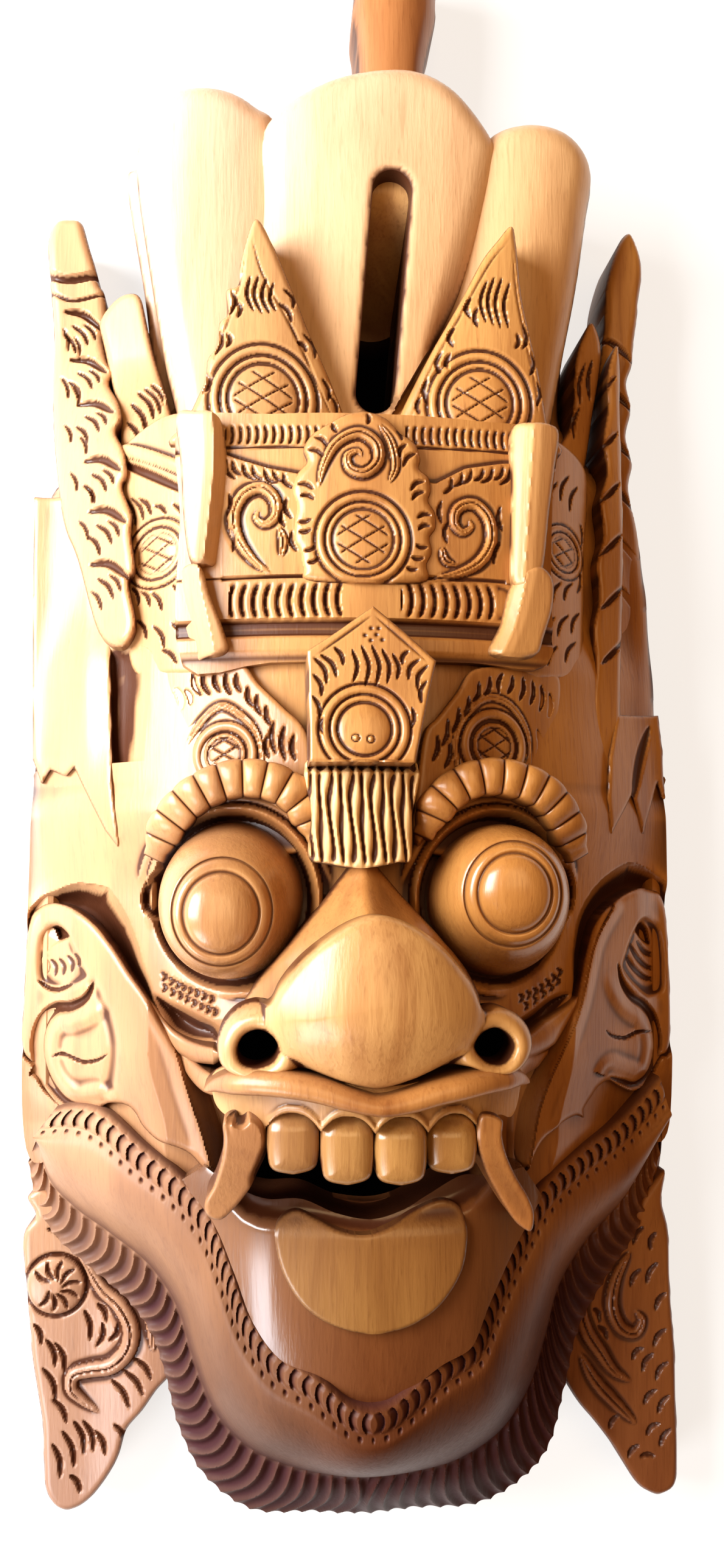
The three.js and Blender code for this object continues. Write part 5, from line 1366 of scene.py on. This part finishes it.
def jaw_band():
    """Rows across the jaw, at equal shares of three lines a, b, c laid from ear to ear. Each row
    goes over the crescents along a, over a half-round roll to b, over the frill to the chin's
    edge c, down to the floor and back inside.
      crescents: cut * (1 - fall / 0.55) where fall is the phase since a cut's curved edge
      frill: scoops sin(pi * phase ** 1.25) ** 0.9 deep, their edges bowed towards the chin"""
    a, b, c = (curve(line, per=58) for line in (inner_rope, outer_rope, chin_edge))
    out = (b - a)[:, :2] / np.hypot(*(b - a)[:, :2].T)[:, None]
    down = (c - b)[:, :2] / np.hypot(*(c - b)[:, :2].T)[:, None]

    def row(base, way, far, rise, stain):
        """Points far out from a line along way and rise above it, with their stain."""
        far, rise, stain = np.broadcast_arrays(far, rise, np.asarray(stain, float))
        flat = [base[:, None, k] + way[:, k, None] * far for k in (0, 1)]
        return np.stack([*flat, base[:, 2, None] + rise], -1), np.broadcast_to(stain, flat[0].shape)

    t = np.linspace(-1, 1, 21)[None, :]
    phase = (paced(a) / 3.9 + 0.42 * (1 - t ** 2)) % 1
    fall = np.clip(1 - phase / 0.6, 0, 1) * ease((1 - np.abs(t)) / 0.3)
    # painted shade on the wall down inside the mouth
    parts = [row(a, out, np.array([[-4.6, -4.4]]), np.array([[-12.0, -1.6]]), 0.5)]
    # the crescents' cuts are darkened: stain and painted shade
    parts.append(row(a, out, 3.0 * t, 0.7 * (1 - t ** 4) - 1.7 * fall,
        0.9 * fall + 0.12 * (np.abs(t) > 0.93)))
    t = np.linspace(0, 1, 7)[None, :]
    dot = ease(1.4 - np.hypot(((paced(a) / 3.9) % 1 - 0.5) * 3.9, (t - 0.45) * 2.8) / 0.62)
    parts.append(row(a, out, 3.2 + 2.8 * t, 0.5 * t - 0.9 * dot, 0.7 * dot))
    t = np.linspace(0, 1, 18)[None, 1:]
    start = np.concatenate([out * 6, 0 * a[:, :1] + 0.5], 1) + a
    end = b - np.concatenate([out * 6.2, 0 * a[:, :1]], 1)
    roll = start[:, None] * (1 - t[..., None]) + end[:, None] * t[..., None]
    roll[..., 2] += 5.4 * np.sin(np.pi * t) ** 0.85 - 0.4 * t
    # painted shade where the roll turns down to the frill
    parts.append((roll, 0.42 * ease((t - 0.80) / 0.2) + 0 * roll[..., 0]))
    t = np.linspace(0, 1, 25)[None, :]
    inner = b - np.concatenate([out * 5.6, 0 * a[:, :1] + 1.8], 1)
    phase = (paced((b + c) / 2) / 4.9 - 0.62 * (1 - (2 * t - 1) ** 2)) % 1
    scoop = np.sin(np.pi * phase ** 1.2) ** 0.9 * ease((t + 0.02) / 0.12) * (0.8 + 0.3 * t - 0.7 * t ** 6)
    frill = inner[:, None] * (1 - t[..., None]) + c[:, None] * t[..., None]
    frill[..., 2] += (inner[:, 2] - c[:, 2])[:, None] * (t - t ** 1.7) - 2.4 * scoop
    frill[..., :2] += down[:, None] * ((0.4 - 0.7 * scoop) * t ** 6)[..., None]
    shade = ease((-140 - frill[..., 1]) / 50)
    # the frill's scoops are darkened with stain and painted shade, and the frill darkens towards the chin as
    # painted shade
    parts.append((frill, np.clip(0.62 * scoop * (0.5 + 0.5 * shade) + 0.25 * shade, 0, 1)))
    low = np.array([[0.0, -9.0, -11.0]]), np.array([[0.0, 0.0, 14.0]])
    base = np.column_stack([c[:, :2], 0 * c[:, 2]])
    # painted shade on the wall down to the floor
    parts.append(row(base, down, *low, 0.5))
    grids, stains = zip(*parts)
    return np.concatenate(grids, 1), np.concatenate(stains, 1)


def tube(name, grid, stain, finish):
    """A closed band: each row of the grid is a loop across it, and a fan closes each end."""
    rows, cols = grid.shape[:2]
    number = np.arange(rows * cols).reshape(rows, cols)
    after = np.roll(number, -1, 1)
    quads = np.stack([number[:-1], after[:-1], after[1:], number[1:]], -1).reshape(-1, 4)
    first, last = rows * cols, rows * cols + 1
    points = np.concatenate([grid.reshape(-1, 3), [grid[0].mean(0)], [grid[-1].mean(0)]])
    thirds = np.concatenate([np.stack([np.full(cols, first), after[0], number[0]], 1),
                             np.stack([np.full(cols, last), number[-1], after[-1]], 1)])
    return fit(name, points, quads, thirds, np.concatenate([stain.ravel(), [0.3, 0.3]]), finish, 50)


# the jaw's tones darken steeply towards the chin: partly the wood's tone, partly painted shade
jaw_wood = wood("jaw_wood", [(0.04, (0.070, 0.022, 0.015)), (0.09, (0.095, 0.030, 0.014)),
    (0.15, (0.16, 0.060, 0.022)), (0.22, (0.29, 0.125, 0.050)), (0.31, (0.50, 0.26, 0.115))],
    (0.060, 0.020, 0.022), rough=0.42, coat=0.04, shine=0.14)
band, band_stain_and_shade = jaw_band()
tube("jaw_roll", band, band_stain_and_shade, jaw_wood)


# ---- Mouth and tongue ----------------------------------------------------------------------------
# Behind the teeth the mouth is open right through. A wide polished lower lip bulges round the disc
# of the tongue, which rests on the mouth's edge.

lip_tones = [(0.12, (0.15, 0.052, 0.020)), (0.20, (0.18, 0.068, 0.024)), (0.26, (0.22, 0.090, 0.034))]
lip_wood = wood("lip_wood", lip_tones, dark_stain_and_shade, rough=0.20, coat=1.0, grain=0.8)
rope_line = curve(inner_rope[4:18], per=8)
lead = np.gradient(rope_line[:, :2], axis=0)
lead /= np.hypot(*lead.T)[:, None]
lip_foot = rope_line[:, :2] + 2.7 * np.stack([-lead[:, 1], lead[:, 0]], 1)
lip_top = [(46, -133), (34, -134), (26, -133.4), (16, -138.2), (9, -142), (0, -144.4), (-10, -142.6),
    (-20, -138.6), (-30, -138.8), (-38, -136.6), (-48, -131)]
lower_lip = Carving(np.vstack([lip_foot, curve(lip_top)]), 0.6,
                    lambda x, y: 84.4 - 9.6 * np.hypot((x + 1) / 46, (y + 150) / 62) ** 3
                    - 2.4 * ease((np.abs(x) - 28) / 16))
mouth_far = outside(lower_lip.x, lower_lip.y, mouth_hole)
lower_lip.z -= 4 * (1 - ease(mouth_far / 6))
# painted shade near the open mouth
lower_lip.soak_and_shade += 0.6 * (1 - ease(mouth_far / 5)) + 0.5 * ease((lower_lip.y + 150) / 12)
lower_lip.build("lower_lip", lambda x, y: 58 - 0.004 * x ** 2, lip_wood, foot=0.7, wide=1.5)

# the tongue's tones darken towards its top under the teeth, painted shade
tongue_wood = wood("tongue_wood", [(0.16, (0.27, 0.135, 0.045)), (0.21, (0.24, 0.11, 0.036)),
    (0.25, (0.12, 0.045, 0.016))], dark_stain_and_shade, rough=0.36, coat=0.35)
tongue = Carving(curve([(-27, -144), (-22, -141), (-16, -143), (-9, -146), (-2, -147), (5, -145),
    (12, -141.4), (20, -139), (25.6, -142), (26.6, -150), (24.4, -159), (18, -167.4), (9.6, -172.2),
    (0, -173.8), (-9.6, -172), (-18.6, -167), (-24.8, -158.4), (-27.4, -150)], closed=True, per=6), 0.5,
    lambda x, y: 87.4 - 0.003 * x ** 2 - 0.002 * (y + 158) ** 2 - 3 * ease((y + 150) / 9) ** 2)
tongue.shoulder(1.0, 0.8)
# painted shade on the tongue's top under the teeth
tongue.soak_and_shade += 0.35 * ease((tongue.y + 156) / 14)
tongue.build("tongue", 64, tongue_wood, foot=0.15, wide=1.5)


# ---- Lower corners -------------------------------------------------------------------------------
# Flame-shaped leaves spread from the jaw to the lower corners, with a split between each and the
# chin. They carry a curled leaf and a gouged flower.

def corner_ground(x, y):
    """The corner leaf's height: rising slowly with y, and by 3 mm towards the jaw."""
    return 24 + 0.05 * (y + 200) + 3 * ease((90 - np.abs(x)) / 24)


corner_left = Carving(curve([(-106.6, -150), (-104, -156), (-107.6, -162), (-107, -176), (-105.2, -192),
    (-104.6, -200), (-102.8, -211), (-101, -222), (-100.4, -234), (-99.6, -243), (-96, -248.6),
    (-91, -249.4), (-85.4, -246), (-79.8, -238.6), (-76.4, -232), (-74, -224), (-69, -218),
    (-64.5, -211.6), (-59.6, -206), (-57.6, -198), (-62, -188), (-72, -178), (-90, -160), (-100, -148)],
    closed=True, per=5), 0.48, corner_ground)
corner_left.shoulder(2.2, 2.0)
scroll(corner_left, [(-90.6, -166), (-86.4, -173), (-82, -179.6), (-76.4, -184.6), (-72.8, -191.6),
    (-74, -198.6), (-79, -203.6), (-85.6, -205), (-91, -206.6), (-91.6, -211), (-88, -214.8),
    (-83, -218.4)], 5.6, 2.4, 1.0)
scroll(corner_left, [(-83, -168), (-76.6, -175), (-70.4, -181), (-66.4, -189), (-65.6, -199)], 4.6, 1.8,
    0.8)
flower = np.hypot(corner_left.x + 97, corner_left.y + 178)
domed = 2.2 * np.sqrt(np.clip(1 - (flower / 9.4) ** 2, 0, 1))
corner_left.z += domed - 1.2 * np.clip(1 - np.abs(flower - 9.8) / 1.1, 0, 1)
tuft(corner_left, [
    ((-97 + 2 * math.cos(k), -178 + 2 * math.sin(k)),
     (-97 + 8.4 * math.cos(k + 0.35), -178 + 8.4 * math.sin(k + 0.35)), 1.0)
    for k in np.radians(np.arange(-150, 150, 34))], 1.8, 1.3)
tuft(corner_left, [((-72, -201), (-66, -208), 1.2), ((-75, -205), (-68.6, -213), 1.2),
    ((-79, -208), (-73, -217), 1.2), ((-100, -195), (-97, -204), 1.2), ((-97.4, -196), (-94, -206), 1.4),
    ((-101, -204), (-96.6, -215), 1.4), ((-98, -214), (-93, -222), 1.2),
    ((-91, -221), (-87.6, -232), 1.4), ((-88, -221), (-84.6, -231), 1.4),
    ((-94.6, -224), (-90.6, -236), 1.4), ((-84.6, -224), (-80.6, -232), 1.2),
    ((-97.6, -228), (-95, -239), 1.2), ((-92, -238), (-88.6, -244), 1), ((-80, -196), (-77, -190), -1.2),
    ((-84, -198), (-82, -190), -1.2), ((-104, -190), (-101.4, -197), 1),
    ((-84, -184), (-80.6, -190), 1.1), ((-88, -186), (-86, -196), 1.1), ((-100, -160), (-95, -164), 1.2),
    ((-95, -154), (-90, -160), 1.2), ((-68, -190), (-64, -196), 1), ((-78, -222), (-74.6, -228), 1)], 2.0,
    1.5)
corner_left.build("corner_left", 0, face_wood, foot=0.6)

corner_right = Carving(curve([(104.6, -146), (103.4, -156), (105.6, -166), (106, -180), (106.6, -192),
    (107.6, -204), (108, -222), (108.4, -240), (107.6, -249.6), (103, -252.8), (98.6, -252), (93.6, -248),
    (86.4, -236.6), (80, -228), (73.4, -220), (69, -212), (67.6, -202), (72, -190), (82, -176),
    (92, -162), (100, -150)], closed=True, per=5), 0.48, corner_ground)
corner_right.shoulder(2.2, 2.0)
scroll(corner_right, [(84, -172), (77.6, -180), (74.4, -189), (76.4, -197), (81.4, -204.6), (86, -211),
    (92, -215)], 5.0, 2.2, 0.9)
scroll(corner_right, [(92, -172), (87, -181), (85.6, -190), (88.6, -197), (93.6, -199), (96, -195),
    (93.6, -191.6)], 4.6, 2.0, 0.9)
scroll(corner_right, [(74, -204), (79, -213), (86, -221), (94, -229)], 4.2, 1.4, 0.8)
tuft(corner_right, [((101.6, -176), (97.6, -183), -1), ((104.6, -186), (100.6, -192), -1),
    ((104.4, -198), (100, -204), -1), ((105, -209), (100.6, -215), -1),
    ((105.6, -220), (101.4, -226), -1), ((106, -231), (102, -237), -1), ((100, -206), (96, -212), -1),
    ((101, -218), (96.6, -223), -1), ((102, -229), (97.4, -233), -1), ((100.4, -240), (95, -240), -0.8),
    ((96, -178), (92, -184), -1), ((97, -164), (93, -170), -1), ((101, -166), (99, -172), -1),
    ((96.6, -204), (92.6, -208), -1), ((88, -226), (84.6, -230), -0.8), ((80.6, -196), (84, -201), 0.9),
    ((79, -190), (81.4, -195), 0.9), ((95, -236), (91, -240), -0.8)], 2.0, 1.5)
corner_right.build("corner_right", 0, face_wood, foot=0.6)


# ---- Camera, light and floor -------------------------------------------------------------------
# The mask lies on its back on a pale floor, seen from above with a soft window light on its left.

def lamp(name, place, aim, size, power, colour=(1, 1, 1)):
    """A soft square light at place, turned towards aim."""
    light = bpy.data.lights.new(name, "AREA")
    light.size = size
    light.energy = power
    light.color = colour
    held = bpy.data.objects.new(name, light)
    bpy.context.scene.collection.objects.link(held)
    back = np.array(place, float) - np.array(aim, float)
    back /= np.linalg.norm(back)
    across = np.cross((0.0, 1.0, 0.0), back)
    across /= np.linalg.norm(across)
    up = np.cross(back, across)
    turn = np.eye(4)
    turn[:3, 0], turn[:3, 1], turn[:3, 2], turn[:3, 3] = across, up, back, place
    held.matrix_world = Matrix(turn.tolist())


lamp("window", (-0.60, 0.14, 0.46), (0.0, 0.03, 0.03), 0.50, 14, (0.88, 0.95, 1))
lamp("low_window", (-0.42, -0.50, 0.46), (0, -0.10, 0.05), 0.30, 2.6, (0.80, 0.90, 1))
lamp("overhead", (0.12, 0.25, 1.1), (0, 0, 0.05), 0.7, 3.2, (1, 0.74, 0.42))
world = bpy.data.worlds.new("studio")
world.use_nodes = True
world.node_tree.nodes["Background"].inputs["Color"].default_value = (1, 0.56, 0.22, 1)
world.node_tree.nodes["Background"].inputs["Strength"].default_value = 0.24
bpy.context.scene.world = world
bpy.context.scene.view_settings.view_transform = "Standard"
bpy.context.scene.view_settings.look = "Medium High Contrast"

floor_mesh = bpy.data.meshes.new("floor")
floor_mesh.from_pydata([(-3, -3, -0.0005), (3, -3, -0.0005), (3, 3, -0.0005), (-3, 3, -0.0005)], [],
    [(0, 1, 2, 3)])
floor = bpy.data.objects.new("floor", floor_mesh)
bpy.context.scene.collection.objects.link(floor)
floor_paint = Bench("floor_paint")
floor_paint.feed(floor_paint.shader.inputs["Base Color"], (0.34, 0.335, 0.33, 1))
floor_paint.shader.inputs["Roughness"].default_value = 0.9
floor_paint.shader.inputs["Emission Color"].default_value = (1, 0.99, 0.98, 1)
floor_paint.shader.inputs["Emission Strength"].default_value = 0.62
floor_mesh.materials.append(floor_paint.finish)

# a black sheet lies under the hollow as painted shade, so the mouth and the slot look as black as on a wall
shadow_sheet_mesh = bpy.data.meshes.new("painted_shadow_sheet")
shadow_sheet_mesh.from_pydata([(-0.075, -0.185, 0.0002), (0.075, -0.185, 0.0002), (0.075, 0.135, 0.0002),
                        (-0.075, 0.135, 0.0002)], [], [(0, 1, 2, 3)])
shadow_sheet = bpy.data.objects.new("painted_shadow_sheet", shadow_sheet_mesh)
bpy.context.scene.collection.objects.link(shadow_sheet)
shadow_sheet_paint = Bench("shadow_sheet_paint")
shadow_sheet_paint.feed(shadow_sheet_paint.shader.inputs["Base Color"], (0.004, 0.003, 0.003, 1))
shadow_sheet_paint.shader.inputs["Roughness"].default_value = 1
shadow_sheet_paint.shader.inputs["Specular IOR Level"].default_value = 0
shadow_sheet_mesh.materials.append(shadow_sheet_paint.finish)

# the camera stands 425 mm above the floor, a little left of the mask's middle, and leans
# towards the crown and the right
lens = bpy.data.cameras.new("camera")
lens.sensor_fit = "VERTICAL"
film = 36
lens.sensor_width = lens.sensor_height = film
lens.lens = film * 1946 / 2576
lens.clip_start = 0.01
lean = math.atan(162 / 1946)
swing = math.atan(165 / 1946 * math.cos(lean))
right = np.array([math.cos(swing), 0, math.sin(swing)])
ahead = np.array([math.sin(swing) * math.cos(lean), math.sin(lean), -math.cos(swing) * math.cos(lean)])
pose = np.eye(4)
pose[:3, 0], pose[:3, 1], pose[:3, 2] = right, np.cross(right, ahead), -ahead
pose[:3, 3] = (-0.032, -0.066, 0.425)
camera = bpy.data.objects.new("camera", lens)
bpy.context.scene.collection.objects.link(camera)
camera.matrix_world = Matrix(pose.tolist())
bpy.context.scene.camera = camera
